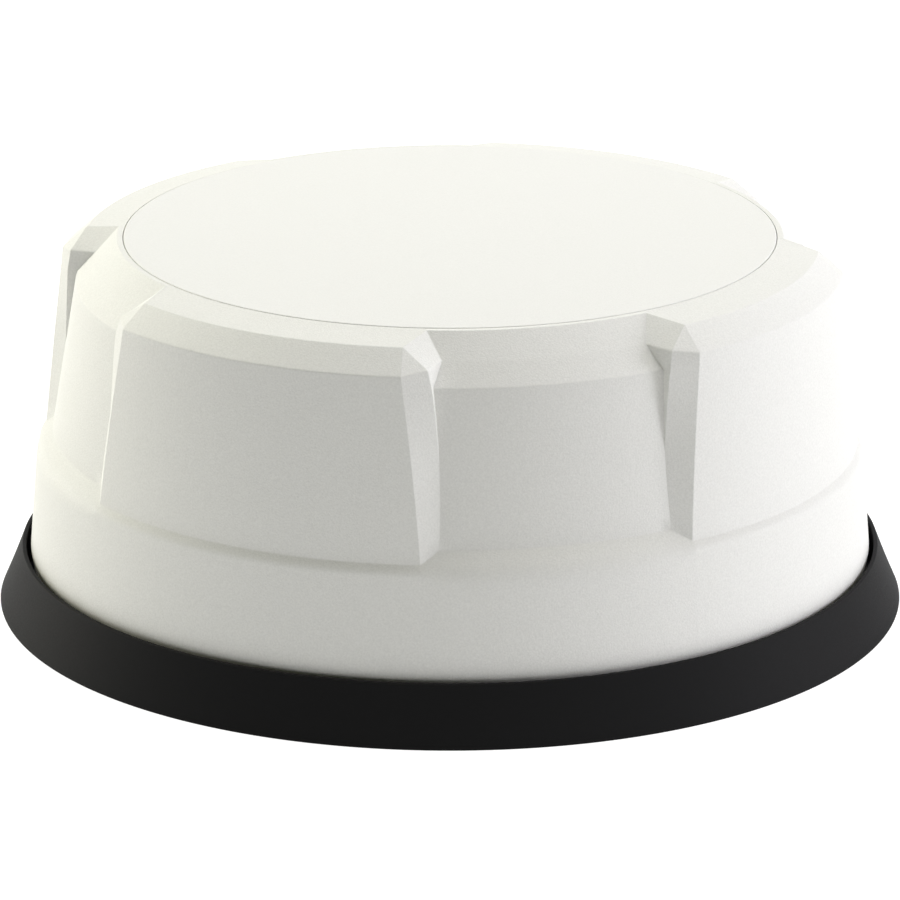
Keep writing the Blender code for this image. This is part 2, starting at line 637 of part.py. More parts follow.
def make_dust_cap(stuff):
    """A cap in two pieces: a plug that closes the mouth, and a ribbed ring that screws on
    round it and carries it along."""
    centre = (0.0, WELL_Y)
    axis_point = (0.0, WELL_Y, CAP_BOTTOM_Z)
    plug_step = CAP_BOTTOM_Z + CAP_FACE_STEP
    plug_top = SHELL_MOUTH_Z - GAP
    plug = turned("cap_plug", [
        (0.0, CAP_BOTTOM_Z), (CAP_FACE_RADIUS, CAP_BOTTOM_Z), (CAP_FACE_RADIUS, plug_step),
        (CAP_PLUG_RADIUS, plug_step), (CAP_PLUG_RADIUS, plug_top), (0.0, plug_top),
    ], stuff["rubber"], centre, 32)
    set_origin(plug, axis_point)
    inner = SHELL_RADIUS + GAP
    mouth = CAP_FACE_RADIUS + GAP
    ring = turned("cap_ring", [
        (mouth, CAP_BOTTOM_Z), (CAP_RING_RADIUS - CAP_RING_EDGE, CAP_BOTTOM_Z),
        (CAP_RING_RADIUS, CAP_BOTTOM_Z + CAP_RING_EDGE), (CAP_RING_RADIUS, CAP_RING_TOP_Z),
        (inner, CAP_RING_TOP_Z), (inner, plug_step - GAP), (mouth, plug_step - GAP),
    ], stuff["black_plastic"], centre, 2 * CAP_RING_RIBS)
    for vertex in ring.data.vertices:
        offset = Vector((vertex.co.x, vertex.co.y - WELL_Y))
        turn = round(math.degrees(math.atan2(offset.y, offset.x)) * CAP_RING_RIBS / 180.0)
        if offset.length > CAP_RING_RADIUS - GAP and turn % 2:
            shrunk = offset * (1.0 - CAP_RIB_DEPTH / offset.length)
            vertex.co.x, vertex.co.y = shrunk.x, shrunk.y + WELL_Y
    set_origin(ring, axis_point)


def make_service_door(stuff):
    """The door with its hinge knuckle and finger notch, the pin, and the seal it shuts on."""
    hinge = (0.0, HINGE_Y, HINGE_Z)
    door = block("service_door", (-DOOR_HALF_WIDTH, DOOR_FAR_Y, DOOR_BOTTOM_Z),
                 (DOOR_HALF_WIDTH, DOOR_NEAR_Y, DOOR_TOP_Z), stuff["black_plastic"], DOOR_EDGE)
    web_inset = 0.0004
    add(door, block("door_web",
                    (-KNUCKLE_HALF_LENGTH, DOOR_NEAR_Y - TOOL_REACH, DOOR_BOTTOM_Z + web_inset),
                    (KNUCKLE_HALF_LENGTH, HINGE_Y, DOOR_TOP_Z - web_inset / 2), None))
    add(door, rod_x("door_knuckle", KNUCKLE_HALF_LENGTH, KNUCKLE_RADIUS, hinge, None))
    cut(door, rod_x("knuckle_bore", KNUCKLE_HALF_LENGTH + TOOL_REACH, PIN_RADIUS + GAP / 3,
                    hinge, None))
    notch_half_length, notch_radius = 0.0040, 0.0012
    cut(door, rod_x("door_finger_notch", notch_half_length, notch_radius,
                    (0.0, DOOR_FAR_Y, DOOR_BOTTOM_Z), None))
    rod_x("door_hinge_pin", PIN_HALF_LENGTH, PIN_RADIUS, hinge, stuff["steel"])
    half_width = DOOR_HALF_WIDTH - GAP
    far, near = DOOR_FAR_Y + GAP, DOOR_NEAR_Y - GAP
    seal = block("door_seal", (-half_width, far, DOOR_TOP_Z + GAP),
                 (half_width, near, DOOR_SEAL_TOP_Z), stuff["rubber"])
    window = half_width - DOOR_SEAL_BORDER
    cut(seal, block("door_seal_window",
                    (-window, far + DOOR_SEAL_BORDER, DOOR_TOP_Z - TOOL_REACH),
                    (window, near - DOOR_SEAL_BORDER, DOOR_SEAL_TOP_Z + TOOL_REACH), None))


def make_socket(name, low_x, high_x, low_y, high_y, side_wall, face_wall, stuff):
    """A metal socket under the well's ceiling, with its slot facing down."""
    top = SERVICE_CEILING_Z - GAP
    bottom = top - SOCKET_HEIGHT
    made = block(name, (low_x, low_y, bottom), (high_x, high_y, top), stuff["shield"],
                 SOCKET_EDGE)
    cut(made, block(f"{name}_slot", (low_x + side_wall, low_y + face_wall, bottom - TOOL_REACH),
                    (high_x - side_wall, high_y - face_wall, bottom + SOCKET_SLOT_DEPTH), None))


def make_service_sockets(stuff):
    make_socket("card_socket", -0.0125, 0.0025, -0.0470, -0.0435, 0.0010, 0.0011, stuff)
    make_socket("usb_port", 0.0045, 0.0135, -0.0470, -0.0436, 0.0004, 0.0004, stuff)


def make_power_key(stuff):
    """The key is pressed upwards. Its stem reaches the switch under the main board."""
    centre = (KEY_X, 0.0)
    gasket_low = PLATE_TOP_Z + GAP
    gasket_high = gasket_low + KEY_GASKET_HEIGHT
    flange_low = gasket_high + GAP
    flange_high = flange_low + KEY_FLANGE_HEIGHT
    dimple, inner_rim, rim = (0.0016, (0.0025, 0.0013), (0.0044, 0.0012))
    rim_z = 0.0018
    key = turned("power_key", [
        (0.0, dimple), inner_rim, rim, (KEY_RADIUS, rim_z), (KEY_RADIUS, flange_low),
        (KEY_FLANGE_RADIUS, flange_low), (KEY_FLANGE_RADIUS, flange_high),
        (KEY_STEM_RADIUS, flange_high), (KEY_STEM_RADIUS, KEY_STEM_TOP_Z),
        (0.0, KEY_STEM_TOP_Z),
    ], stuff["rubber"], centre, 24)
    set_origin(key, (KEY_X, 0.0, KEY_STEM_TOP_Z))
    turned("key_gasket", [
        (KEY_RADIUS + GAP, gasket_low), (KEY_GASKET_RADIUS, gasket_low),
        (KEY_GASKET_RADIUS, gasket_high), (KEY_RADIUS + GAP, gasket_high),
    ], stuff["rubber"], centre, 24)
    block("key_switch",
          (KEY_X - SWITCH_HALF_WIDTH, -SWITCH_HALF_WIDTH, KEY_STEM_TOP_Z + SWITCH_GAP),
          (KEY_X + SWITCH_HALF_WIDTH, SWITCH_HALF_WIDTH, BOARD_BOTTOM_Z - GAP),
          stuff["black_plastic"], 0.0003)


# ---- boards and antennas ----------------------------------------------------------------

def post_positions():
    number = 0
    for x in (-POST_OFFSET, POST_OFFSET):
        for y in (-POST_OFFSET, POST_OFFSET):
            number += 1
            yield number, (x, y)


def make_posts(stuff):
    """Hexagonal standoffs under and over the main board, and the screws on top."""
    foot, low_top = PLATE_TOP_Z + GAP, BOARD_BOTTOM_Z - GAP
    low, high = BOARD_TOP_Z + GAP, PLANE_BOTTOM_Z - GAP
    head = PLANE_TOP_Z + GAP
    head_top = head + PLANE_SCREW_HEAD_HEIGHT
    head_edge = 0.0006
    hexagon, bore, stud = POST_HEX_RADIUS, POST_BORE_RADIUS, POST_STUD_RADIUS
    for number, place in post_positions():
        turned(f"lower_standoff_{number}", [
            (0.0, foot), (hexagon, foot), (hexagon, low_top), (bore, low_top),
            (bore, LOWER_BORE_Z), (0.0, LOWER_BORE_Z),
        ], stuff["brass"], place, 6)
        turned(f"upper_standoff_{number}", [
            (0.0, UPPER_STUD_Z), (stud, UPPER_STUD_Z), (stud, low), (hexagon, low),
            (hexagon, high), (bore, high), (bore, UPPER_BORE_Z), (0.0, UPPER_BORE_Z),
        ], stuff["brass"], place, 6)
        turned(f"plane_screw_{number}", [
            (0.0, PLANE_SCREW_TIP_Z), (stud, PLANE_SCREW_TIP_Z), (stud, head),
            (PLANE_SCREW_HEAD_RADIUS, head), (PLANE_SCREW_HEAD_RADIUS, head_top - head_edge),
            (PLANE_SCREW_HEAD_RADIUS - head_edge, head_top), (0.0, head_top),
        ], stuff["steel"], place, 12)


def drill_post_holes(target, low_z, high_z):
    for number, place in post_positions():
        cut(target, cylinder_tool(f"{target.name}_post_hole_{number}", POST_HOLE_RADIUS,
                                  low_z, high_z, place, 12))


def make_main_board(stuff):
    board = turned("main_board", [
        (0.0, BOARD_BOTTOM_Z), (BOARD_RADIUS, BOARD_BOTTOM_Z), (BOARD_RADIUS, BOARD_TOP_Z),
        (0.0, BOARD_TOP_Z),
    ], stuff["board"], steps=48)
    drill_post_holes(board, BOARD_BOTTOM_Z - TOOL_REACH, BOARD_TOP_Z + TOOL_REACH)
    seat = BOARD_TOP_Z + GAP
    block("gnss_module_shield", (-0.0330, -0.0070, seat), (0.0050, 0.0230, seat + 0.0045),
          stuff["shield"], 0.0006)
    block("processor_chip", (0.0160, 0.0100, seat), (0.0320, 0.0260, seat + 0.0016),
          stuff["black_plastic"], 0.0002)
    block("modem_module", (0.0070, -0.0330, seat), (0.0370, -0.0070, seat + 0.0030),
          stuff["shield"], 0.0005)
    block("motion_sensor_chip", (-0.0030, -0.0170, seat), (0.0020, -0.0120, seat + 0.0012),
          stuff["black_plastic"], 0.0002)
    turned("backup_supercapacitor", [
        (0.0, seat), (0.0062, seat), (0.0062, seat + 0.0105), (0.0055, seat + 0.0112),
        (0.0, seat + 0.0112),
    ], stuff["black_plastic"], (-0.0230, -0.0240), 24)


def make_ground_plane(stuff):
    """A spun dish, rim down, that carries the antenna and shields the boards below."""
    inner = PLANE_RADIUS - PLANE_WALL
    rim_z = PLANE_BOTTOM_Z - PLANE_RIM_HEIGHT
    made = turned("ground_plane", [
        (0.0, PLANE_BOTTOM_Z), (inner, PLANE_BOTTOM_Z), (inner, rim_z), (PLANE_RADIUS, rim_z),
        (PLANE_RADIUS, PLANE_TOP_Z - PLANE_EDGE), (PLANE_RADIUS - PLANE_EDGE, PLANE_TOP_Z),
        (0.0, PLANE_TOP_Z),
    ], stuff["spun_aluminium"], steps=48)
    drill_post_holes(made, PLANE_BOTTOM_Z - TOOL_REACH, PLANE_TOP_Z + TOOL_REACH)


def slab(name, half, low_z, height, stuff, bevel):
    """A square plate centred on the receiver's axis."""
    block(name, (-half, -half, low_z), (half, half, low_z + height), stuff, bevel)


def make_antenna_stack(stuff):
    low = PLANE_TOP_Z + GAP
    turned("antenna_board", [
        (0.0, low), (ANTENNA_BOARD_RADIUS, low), (ANTENNA_BOARD_RADIUS, ANTENNA_BOARD_TOP_Z),
        (0.0, ANTENNA_BOARD_TOP_Z),
    ], stuff["board"], steps=40)
    seat = ANTENNA_BOARD_TOP_Z + GAP
    slab("patch_lower", PATCH_LOWER_HALF, seat, PATCH_LOWER_HEIGHT, stuff["ceramic"], 0.0006)
    seat += PATCH_LOWER_HEIGHT + GAP
    slab("patch_upper", PATCH_UPPER_HALF, seat, PATCH_UPPER_HEIGHT, stuff["ceramic"], 0.0006)
    seat += PATCH_UPPER_HEIGHT + GAP
    slab("patch_electrode", ELECTRODE_HALF, seat, ELECTRODE_HEIGHT, stuff["copper"], 0.0001)
    block("lna_shield", (-0.0170, -0.0120, PLANE_BOTTOM_Z - 0.0045),
          (0.0170, 0.0120, PLANE_BOTTOM_Z - GAP), stuff["shield"], 0.0006)


def make_antenna_coax(stuff):
    """The thin cable from the amplifier under the ground plane to the receiver module."""
    start = Vector((-0.0175, 0.0, PLANE_BOTTOM_Z - 0.0025))
    end = Vector((-0.0335, 0.0080, BOARD_TOP_Z + 0.0025))
    bulge = Vector((-0.0120, 0.0, 0.0))
    curve = bpy.data.curves.new("antenna_coax", "CURVE")
    curve.dimensions = "3D"
    curve.bevel_depth = COAX_RADIUS
    curve.bevel_resolution = 1
    curve.use_fill_caps = True
    line = curve.splines.new("POLY")
    line.points.add(COAX_STEPS)
    for i in range(COAX_STEPS + 1):
        share = i / COAX_STEPS
        blend = share * share * (3.0 - 2.0 * share)
        point = start.lerp(end, blend) + bulge * (4.0 * share * (1.0 - share))
        line.points[i].co = (*point, 1.0)
    made = bpy.data.objects.new("antenna_coax", curve)
    curve.materials.append(stuff["black_plastic"])
    bpy.context.scene.collection.objects.link(made)


def make_lobe_antennas(stuff):
    """One curved radio antenna behind the outer wall of each lobe."""
    names = ("cellular_antenna_main", "wifi_antenna", "cellular_antenna_second",
             "bluetooth_antenna")
    corners = ((LOBE_ANTENNA_INNER_RADIUS, LOBE_ANTENNA_LOW_Z),
               (LOBE_ANTENNA_OUTER_RADIUS, LOBE_ANTENNA_LOW_Z),
               (LOBE_ANTENNA_OUTER_RADIUS, LOBE_ANTENNA_HIGH_Z),
               (LOBE_ANTENNA_INNER_RADIUS, LOBE_ANTENNA_HIGH_Z))
    steps = LOBE_ANTENNA_STEPS
    for lobe, name in enumerate(names):
        centre = 360.0 / LOBE_COUNT * lobe
        builder = bmesh.new()
        rings = []
        for radius, z in corners:
            column = []
            for step in range(steps + 1):
                angle = centre + LOBE_ANTENNA_HALF_ANGLE * (2.0 * step / steps - 1.0)
                column.append(builder.verts.new(polar(radius, angle, z)))
            rings.append(column)
        for first, second in zip(rings, rings[1:] + rings[:1]):
            for i in range(steps):
                builder.faces.new([first[i], first[i + 1], second[i + 1], second[i]])
        builder.faces.new([ring[0] for ring in rings])
        builder.faces.new([ring[-1] for ring in rings])
        new_object(name, builder, stuff["copper"])


# ---- assembly ---------------------------------------------------------------------------

def clear_scene():
    for old in list(bpy.data.objects):
        bpy.data.objects.remove(old)


def main():
    clear_scene()
    stuff = make_materials()
    make_radome(stuff)
    make_top_disc(stuff)
    make_skirt_ring(stuff)
    make_base_casting(stuff)
    make_housing_seal(stuff)
    make_housing_screws(stuff)
    make_pole_insert(stuff)
    make_pressure_vent(stuff)
    make_connector(stuff)
    make_dust_cap(stuff)
    make_service_door(stuff)
    make_service_sockets(stuff)
    make_power_key(stuff)
    make_posts(stuff)
    make_main_board(stuff)
    make_ground_plane(stuff)
    make_antenna_stack(stuff)
    make_antenna_coax(stuff)
    make_lobe_antennas(stuff)


main()
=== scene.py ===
"""The looks of the GNSS receiver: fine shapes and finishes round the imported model.

Metres, +Z up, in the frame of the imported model. The radome is built level by level
from the top down, like the CAD one, with rounded creases and many more columns.
"""

import json
import math
from collections import namedtuple

import bmesh
import bpy
from mathutils import Matrix, Vector


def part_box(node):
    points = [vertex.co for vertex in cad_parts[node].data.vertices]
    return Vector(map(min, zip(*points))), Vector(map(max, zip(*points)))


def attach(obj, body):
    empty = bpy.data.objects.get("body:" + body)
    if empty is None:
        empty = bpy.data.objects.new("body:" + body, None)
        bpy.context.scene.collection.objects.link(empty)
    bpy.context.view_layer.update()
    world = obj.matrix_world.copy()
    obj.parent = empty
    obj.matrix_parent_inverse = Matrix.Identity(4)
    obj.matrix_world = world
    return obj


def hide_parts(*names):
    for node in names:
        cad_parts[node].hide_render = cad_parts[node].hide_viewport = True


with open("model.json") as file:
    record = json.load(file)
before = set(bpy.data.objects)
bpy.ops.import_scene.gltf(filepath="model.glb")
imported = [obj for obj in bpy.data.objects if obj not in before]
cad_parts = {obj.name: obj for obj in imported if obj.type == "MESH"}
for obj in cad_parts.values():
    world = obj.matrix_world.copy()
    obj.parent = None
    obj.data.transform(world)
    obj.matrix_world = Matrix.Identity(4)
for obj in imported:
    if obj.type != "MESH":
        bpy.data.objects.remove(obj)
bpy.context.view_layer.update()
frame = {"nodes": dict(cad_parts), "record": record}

# ---- measures taken from the frame -------------------------------------------------------

SKIRT_LOW, SKIRT_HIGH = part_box("skirt_ring")
RADOME_LOW, RADOME_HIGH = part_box("radome")
DISC_LOW, DISC_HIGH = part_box("top_disc")
BASE_LOW, BASE_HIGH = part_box("base_casting")
INSERT_LOW, INSERT_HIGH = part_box("pole_insert")

SKIRT_RADIUS = SKIRT_HIGH.x
LIP_Z = SKIRT_HIGH.z
RADOME_BOTTOM_Z = RADOME_LOW.z
DISC_RIM_Z = 0.0766
DISC_TOP_Z = DISC_HIGH.z
DISC_RADIUS = DISC_HIGH.x
DISC_GROOVE = 0.00014
DISC_OPENING_RADIUS = DISC_RADIUS + DISC_GROOVE
FIT = 0.0003  # clearance between pieces that rest on each other
DISC_SEAT_Z = DISC_LOW.z - FIT

# ---- underside ---------------------------------------------------------------------------

TOOL_REACH = 0.001  # how far a cutting shape stands out of the face it cuts
SCREW_COUNT = 6
SCREW_HOLE_RADIUS = 0.0018
COUNTERBORE_RADIUS = 0.0033
SCREW_HEAD_HEIGHT = 0.0020
WELL_RADIUS = 0.0170
WELL_CEILING_Z = 0.0220
DOOR_NEAR_Y = -0.0364  # the door plate's edge towards its hinge
REPLACED = set()  # the CAD nodes that finer pieces stand for

# ---- radome levels -------------------------------------------------------------------------

LOBE_COUNT = 4
LOBE_STEPS = 26
RECESS_STEPS = 18
CORNER_STEPS = 4
CREASE_STEPS = 4
OPENING_ANGLES = (22.95, 26.0)  # half angles of the lobe and root columns
BAND_ANGLES = (26.0, 28.5)
LAND_RADIUS = 0.06785
LAND_Z = RADOME_HIGH.z
BAND_TOP_RADIUS = 0.0847
BAND_TOP_Z = 0.0329
BAND_FOOT_RADIUS = 0.0865
BAND_FOOT_Z = 0.0110
BAND_SLOPE_IN = 0.0005  # how far the band draws in below its foot
FLANGE_BORE_RADIUS = 0.0760
FLANGE_TOP_Z = 0.0170
CAVITY_FOOT_RADIUS = 0.0833
CAVITY_STEP_RADIUS = 0.0816
CAVITY_STEP_Z = 0.0315
CEILING_Z = 0.0723

# Top and foot of the leaning walls. A lobe's end is (radius, half angle, z).
LOBE_TOP = (0.0803, 23.4, 0.0675)
LOBE_FOOT = (0.0836, 25.95, 0.0343)
LOBE_SWELL = 0.9
SIDE_TOP_ANGLE, SIDE_FOOT_ANGLE = 27.43, 28.4
SIDE_SWELL = 1.86
SIDE_RADIUS = 0.0782
SIDE_LEAN = 0.00116
RECESS_TOP_RADIUS, RECESS_FOOT_RADIUS = 0.07615, 0.0814
RECESS_TOP_Z, RECESS_FOOT_Z = 0.0675, 0.0366
WALL_STEPS = 6
WALL_CREASE = 0.0002
CORNER = 0.00015  # how far the lobes' corners are rounded sideways

# lobe is (radius, half angle, z), side and root the two corners beside it as (radius,
# angle, z), recess is (radius, z). round is how far its crease is rounded up and down,
# corner how far its corners are rounded sideways, rows the rows of faces down to the
# next level.
Level = namedtuple("Level", "lobe side root recess round corner rows")


def circle_level(radius, z, round_over=0.0, rows=1, angles=BAND_ANGLES):
    """A plain circle with the same columns as the lobed levels."""
    half, root = angles
    return Level((radius, half, z), (radius, root, z), (radius, root, z), (radius, z),
                 round_over, 0.0, rows)


def wall_level(share):
    """A level of the leaning walls, share of the way from their top to their foot. The
    end faces of a lobe swell outwards half way down, over the foot of its side walls."""
    def between(top, foot):
        return top + (foot - top) * share

    swell = share * (1.0 - share)
    at_end = share in (0.0, 1.0)
    lobe_radius, lobe_angle, lobe_z = [between(*ends) for ends in zip(LOBE_TOP, LOBE_FOOT)]
    recess_radius = between(RECESS_TOP_RADIUS, RECESS_FOOT_RADIUS)
    side_angle = between(SIDE_TOP_ANGLE, SIDE_FOOT_ANGLE) + SIDE_SWELL * swell
    side_radius = max(SIDE_RADIUS + SIDE_LEAN * share, recess_radius)
    side_z = between(RECESS_TOP_Z, RECESS_FOOT_Z)
    return Level(
        (lobe_radius, lobe_angle + LOBE_SWELL * swell, lobe_z),
        (side_radius, side_angle, side_z), (recess_radius, side_angle, side_z),
        (recess_radius, side_z), WALL_CREASE if at_end else 0.0, CORNER, rows=2)


TOP_RIM = Level((0.0749, 22.95, 0.0752), (0.0749, 22.95, 0.0752),
                (0.0676, 26.0, LAND_Z), (LAND_RADIUS, LAND_Z), 0.00018, CORNER, rows=3)
SHOULDER = Level((0.0800, 23.15, 0.0708), (0.0776, 26.75, 0.0715),
                 (0.0723, 28.6, 0.0718), (0.0723, 0.0717), 0.0003, CORNER, rows=2)
INNER_FOOT = Level((0.0813, 23.6, 0.0340), (0.0787, 26.3, 0.0355),
                   (0.0787, 26.3, 0.0355), (0.0786, 0.0355), 0.0, 0.0, rows=6)
INNER_TOP = Level((0.0772, 21.2, 0.0670), (0.0757, 25.0, 0.0670),
                  (0.0734, 25.6, 0.0667), (0.0733, 0.0667), 0.0, 0.0, rows=2)
INNER_CEILING = Level((0.0736, 20.8, CEILING_Z), (0.0736, 20.8, CEILING_Z),
                      (0.0684, 24.8, CEILING_Z), (0.0683, CEILING_Z), 0.0, 0.0, rows=1)

# From the disc's seat over the outside, round the bottom flange and up the inside
RADOME_LEVELS = [
    circle_level(DISC_OPENING_RADIUS, DISC_SEAT_Z, angles=OPENING_ANGLES),
    circle_level(DISC_OPENING_RADIUS, LAND_Z, 0.0001, angles=OPENING_ANGLES),
    TOP_RIM,
    SHOULDER,
    *[wall_level(step / WALL_STEPS) for step in range(WALL_STEPS + 1)],
    circle_level(BAND_TOP_RADIUS, BAND_TOP_Z, 0.0030, rows=6),
    circle_level(BAND_FOOT_RADIUS, BAND_FOOT_Z, 0.0012),
    circle_level(BAND_FOOT_RADIUS - BAND_SLOPE_IN, RADOME_BOTTOM_Z, 0.0004),
    circle_level(FLANGE_BORE_RADIUS, RADOME_BOTTOM_Z, 0.0002),
    circle_level(FLANGE_BORE_RADIUS, FLANGE_TOP_Z),
    circle_level(CAVITY_FOOT_RADIUS, FLANGE_TOP_Z + 0.0006),
    circle_level(CAVITY_STEP_RADIUS, CAVITY_STEP_Z, rows=2),
    INNER_FOOT,
    INNER_TOP,
    INNER_CEILING,
]


# ---- shape tools ---------------------------------------------------------------------------

def polar(radius, degrees, z):
    """A point at a distance from the Z axis and an angle round it."""
    angle = math.radians(degrees)
    return Vector((radius * math.cos(angle), radius * math.sin(angle), z))


def rounded_corner(before, corner, after, reach, steps):
    """Points of a smooth curve that leaves a corner out, reach away from it on both sides
    but never so far that it meets the next corner's curve."""
    first, second = before - corner, after - corner
    most = 0.45
    length = min(reach, most * first.length, most * second.length)
    start = corner + first.normalized() * length
    end = corner + second.normalized() * length
    points = []
    for step in range(steps + 1):
        t = step / steps
        points.append(start * (1 - t) ** 2 + corner * (2 * t * (1 - t)) + end * t ** 2)
    return points


def arc_points(start, end, steps):
    """Points between two others at their own distance from the Z axis, ends left out."""
    first, last = math.atan2(start.y, start.x), math.atan2(end.y, end.x)
    if last < first:
        last += 2.0 * math.pi
    first_radius, last_radius = start.xy.length, end.xy.length
    points = []
    for step in range(1, steps):
        t = step / steps
        radius = first_radius + (last_radius - first_radius) * t
        z = start.z + (end.z - start.z) * t
        points.append(polar(radius, math.degrees(first + (last - first) * t), z))
    return points


def level_points(level):
    """The closed ring of one level, anticlockwise from above, with its corners rounded."""
    pitch = 360.0 / LOBE_COUNT
    nudge = 1.0  # degrees past a corner, for the direction in which its ring goes on
    points = []
    for lobe in range(LOBE_COUNT):
        centre = lobe * pitch
        radius, half, z = level.lobe
        left = [polar(r, centre - a, h) for r, a, h in (level.root, level.side, level.lobe)]
        right = [polar(r, centre + a, h) for r, a, h in (level.lobe, level.side, level.root)]
        recess_radius, recess_z = level.recess
        before = polar(recess_radius, centre - level.root[1] - nudge, recess_z)
        after = polar(recess_radius, centre + level.root[1] + nudge, recess_z)
        inside_left = polar(radius, centre - half + nudge, z)
        inside_right = polar(radius, centre + half - nudge, z)
        chain = [before, *left, inside_left]
        for i in range(1, len(chain) - 1):
            points += rounded_corner(chain[i - 1], chain[i], chain[i + 1], level.corner,
                                     CORNER_STEPS)
        chain = [inside_right, *right, after]
        right_side = []
        for i in range(1, len(chain) - 1):
            right_side += rounded_corner(chain[i - 1], chain[i], chain[i + 1], level.corner,
                                         CORNER_STEPS)
        points += arc_points(points[-1], right_side[0], LOBE_STEPS)
        points += right_side
        next_root = polar(level.root[0], centre + pitch - level.root[1], level.root[2])
        points += arc_points(right_side[-1], next_root, RECESS_STEPS)
    return points


def column_profile(column, levels):
    """One column of the radome from the first level to the last, its creases rounded."""
    profile = []
    for k, level in enumerate(levels):
        if level.round and 0 < k < len(levels) - 1:
            profile += rounded_corner(column[k - 1], column[k], column[k + 1], level.round,
                                      CREASE_STEPS)
        else:
            profile.append(column[k])
        if k < len(levels) - 1 and level.rows > 1:
            following = levels[k + 1]
            end = column[k + 1]
            if following.round and k + 1 < len(levels) - 1:
                end = rounded_corner(column[k], column[k + 1], column[k + 2],
                                     following.round, CREASE_STEPS)[0]
            start = profile[-1]
            profile += [start.lerp(end, row / level.rows) for row in range(1, level.rows)]
    return profile


SHARP_ANGLE = 40.0
BEVEL_ANGLE = 35.0
SAME_POINT = 2e-7
NO_LENGTH = 1e-7


def finished(name, builder, stuff, sharp_angle=SHARP_ANGLE, weighted=True):
    """An object from a bmesh, shaded smooth, with its normals led by its large faces."""
    bmesh.ops.remove_doubles(builder, verts=builder.verts, dist=SAME_POINT)
    bmesh.ops.dissolve_degenerate(builder, edges=builder.edges, dist=NO_LENGTH)
    bmesh.ops.recalc_face_normals(builder, faces=builder.faces)
    mesh = bpy.data.meshes.new(name)
    builder.to_mesh(mesh)
    builder.free()
    mesh.shade_smooth()
    mesh.set_sharp_from_angle(angle=math.radians(sharp_angle))
    made = bpy.data.objects.new(name, mesh)
    bpy.context.scene.collection.objects.link(made)
    if stuff is not None:
        mesh.materials.append(stuff)
    if weighted:
        weight_normals(made)
    return made


def weight_normals(made):
    """Lets the large faces lead the shading."""
    modifier = made.modifiers.new("weighted_normals", "WEIGHTED_NORMAL")
    modifier.keep_sharp = True
    modifier.weight = 80


def soften_edges(made, width):
    """A narrow bevel along every edge that isn't nearly flat."""
    bevel = made.modifiers.new("soft_edges", "BEVEL")
    bevel.width = width
    bevel.segments = 2
    bevel.limit_method = "ANGLE"
    bevel.angle_limit = math.radians(BEVEL_ANGLE)


def bridge(builder, first, second):
    """Faces between two closed rings of as many points."""
    count = len(first)
    for i in range(count):
        j = (i + 1) % count
        builder.faces.new([first[i], first[j], second[j], second[i]])


def close_end(builder, ring, centre):
    """Faces over a ring up to a point on the axis."""
    apex = builder.verts.new(centre)
    for i, vertex in enumerate(ring):
        builder.faces.new([vertex, ring[(i + 1) % len(ring)], apex])


def turned(name, profile, stuff, centre=(0.0, 0.0), steps=128, turn=0.0):
    """A solid of revolution. The profile is (radius, z) points round a closed outline;
    it may start and end on the axis."""
    builder = bmesh.new()
    touches_axis = profile[0][0] == 0.0
    shift = Vector((*centre, 0.0))
    rings = []
    for radius, z in profile[1:-1] if touches_axis else profile:
        ring = [polar(radius, turn + 360.0 * i / steps, z) + shift for i in range(steps)]
        rings.append([builder.verts.new(point) for point in ring])
    if touches_axis:
        close_end(builder, rings[0], (*centre, profile[0][1]))
        close_end(builder, rings[-1], (*centre, profile[-1][1]))
    else:
        bridge(builder, rings[-1], rings[0])
    for first, second in zip(rings, rings[1:]):
        bridge(builder, first, second)
    return finished(name, builder, stuff)


def softened(profile, reaches, steps=3):
    """A closed profile of (radius, z) corners, each rounded by its own reach."""
    corners = [Vector((radius, z, 0.0)) for radius, z in profile]
    points = []
    for i, corner in enumerate(corners):
        if reaches[i]:
            following = corners[(i + 1) % len(corners)]
            curve = rounded_corner(corners[i - 1], corner, following, reaches[i], steps)
            points += [(p.x, p.y) for p in curve]
        else:
            points.append((corner.x, corner.y))
    return points


def revolved(name, profile, stuff, centre=(0.0, 0.0), steps=96, shape=None):
    """A ring of revolution whose radius a shape function may change with angle and height."""
    builder = bmesh.new()
    columns = []
    for i in range(steps):
        degrees = 360.0 * i / steps
        column = []
        for radius, z in profile:
            if shape is not None:
                radius = shape(radius, degrees, z)
            column.append(builder.verts.new(polar(radius, degrees, z) + Vector((*centre, 0.0))))
        columns.append(column)
    rows = len(profile)
    for first, second in zip(columns, columns[1:] + columns[:1]):
        for k in range(rows):
            following = (k + 1) % rows
            builder.faces.new([first[k], first[following], second[following], second[k]])
    return finished(name, builder, stuff)


def thread_shape(at_radius, depth, pitch, low_z, high_z):
    """A helical groove and ridge on the wall that stands at one radius."""
    def shape(radius, degrees, z):
        if abs(radius - at_radius) > 1e-6 or not low_z < z < high_z:
            return radius
        phase = (z / pitch - degrees / 360.0) % 1.0
        ridge = min(1.0, max(0.0, 2.4 * (0.5 - abs(phase - 0.5)) - 0.1))
        fade = min(1.0, (z - low_z) / (0.5 * pitch), (high_z - z) / (0.5 * pitch))
        return radius + depth * ridge * fade
    return shape


def wall_rows(radius, start_z, end_z, spacing):
    """Points up or down a wall, close enough together for a thread."""
    count = max(2, round(abs(end_z - start_z) / spacing))
    return [(radius, start_z + (end_z - start_z) * i / count) for i in range(count + 1)]


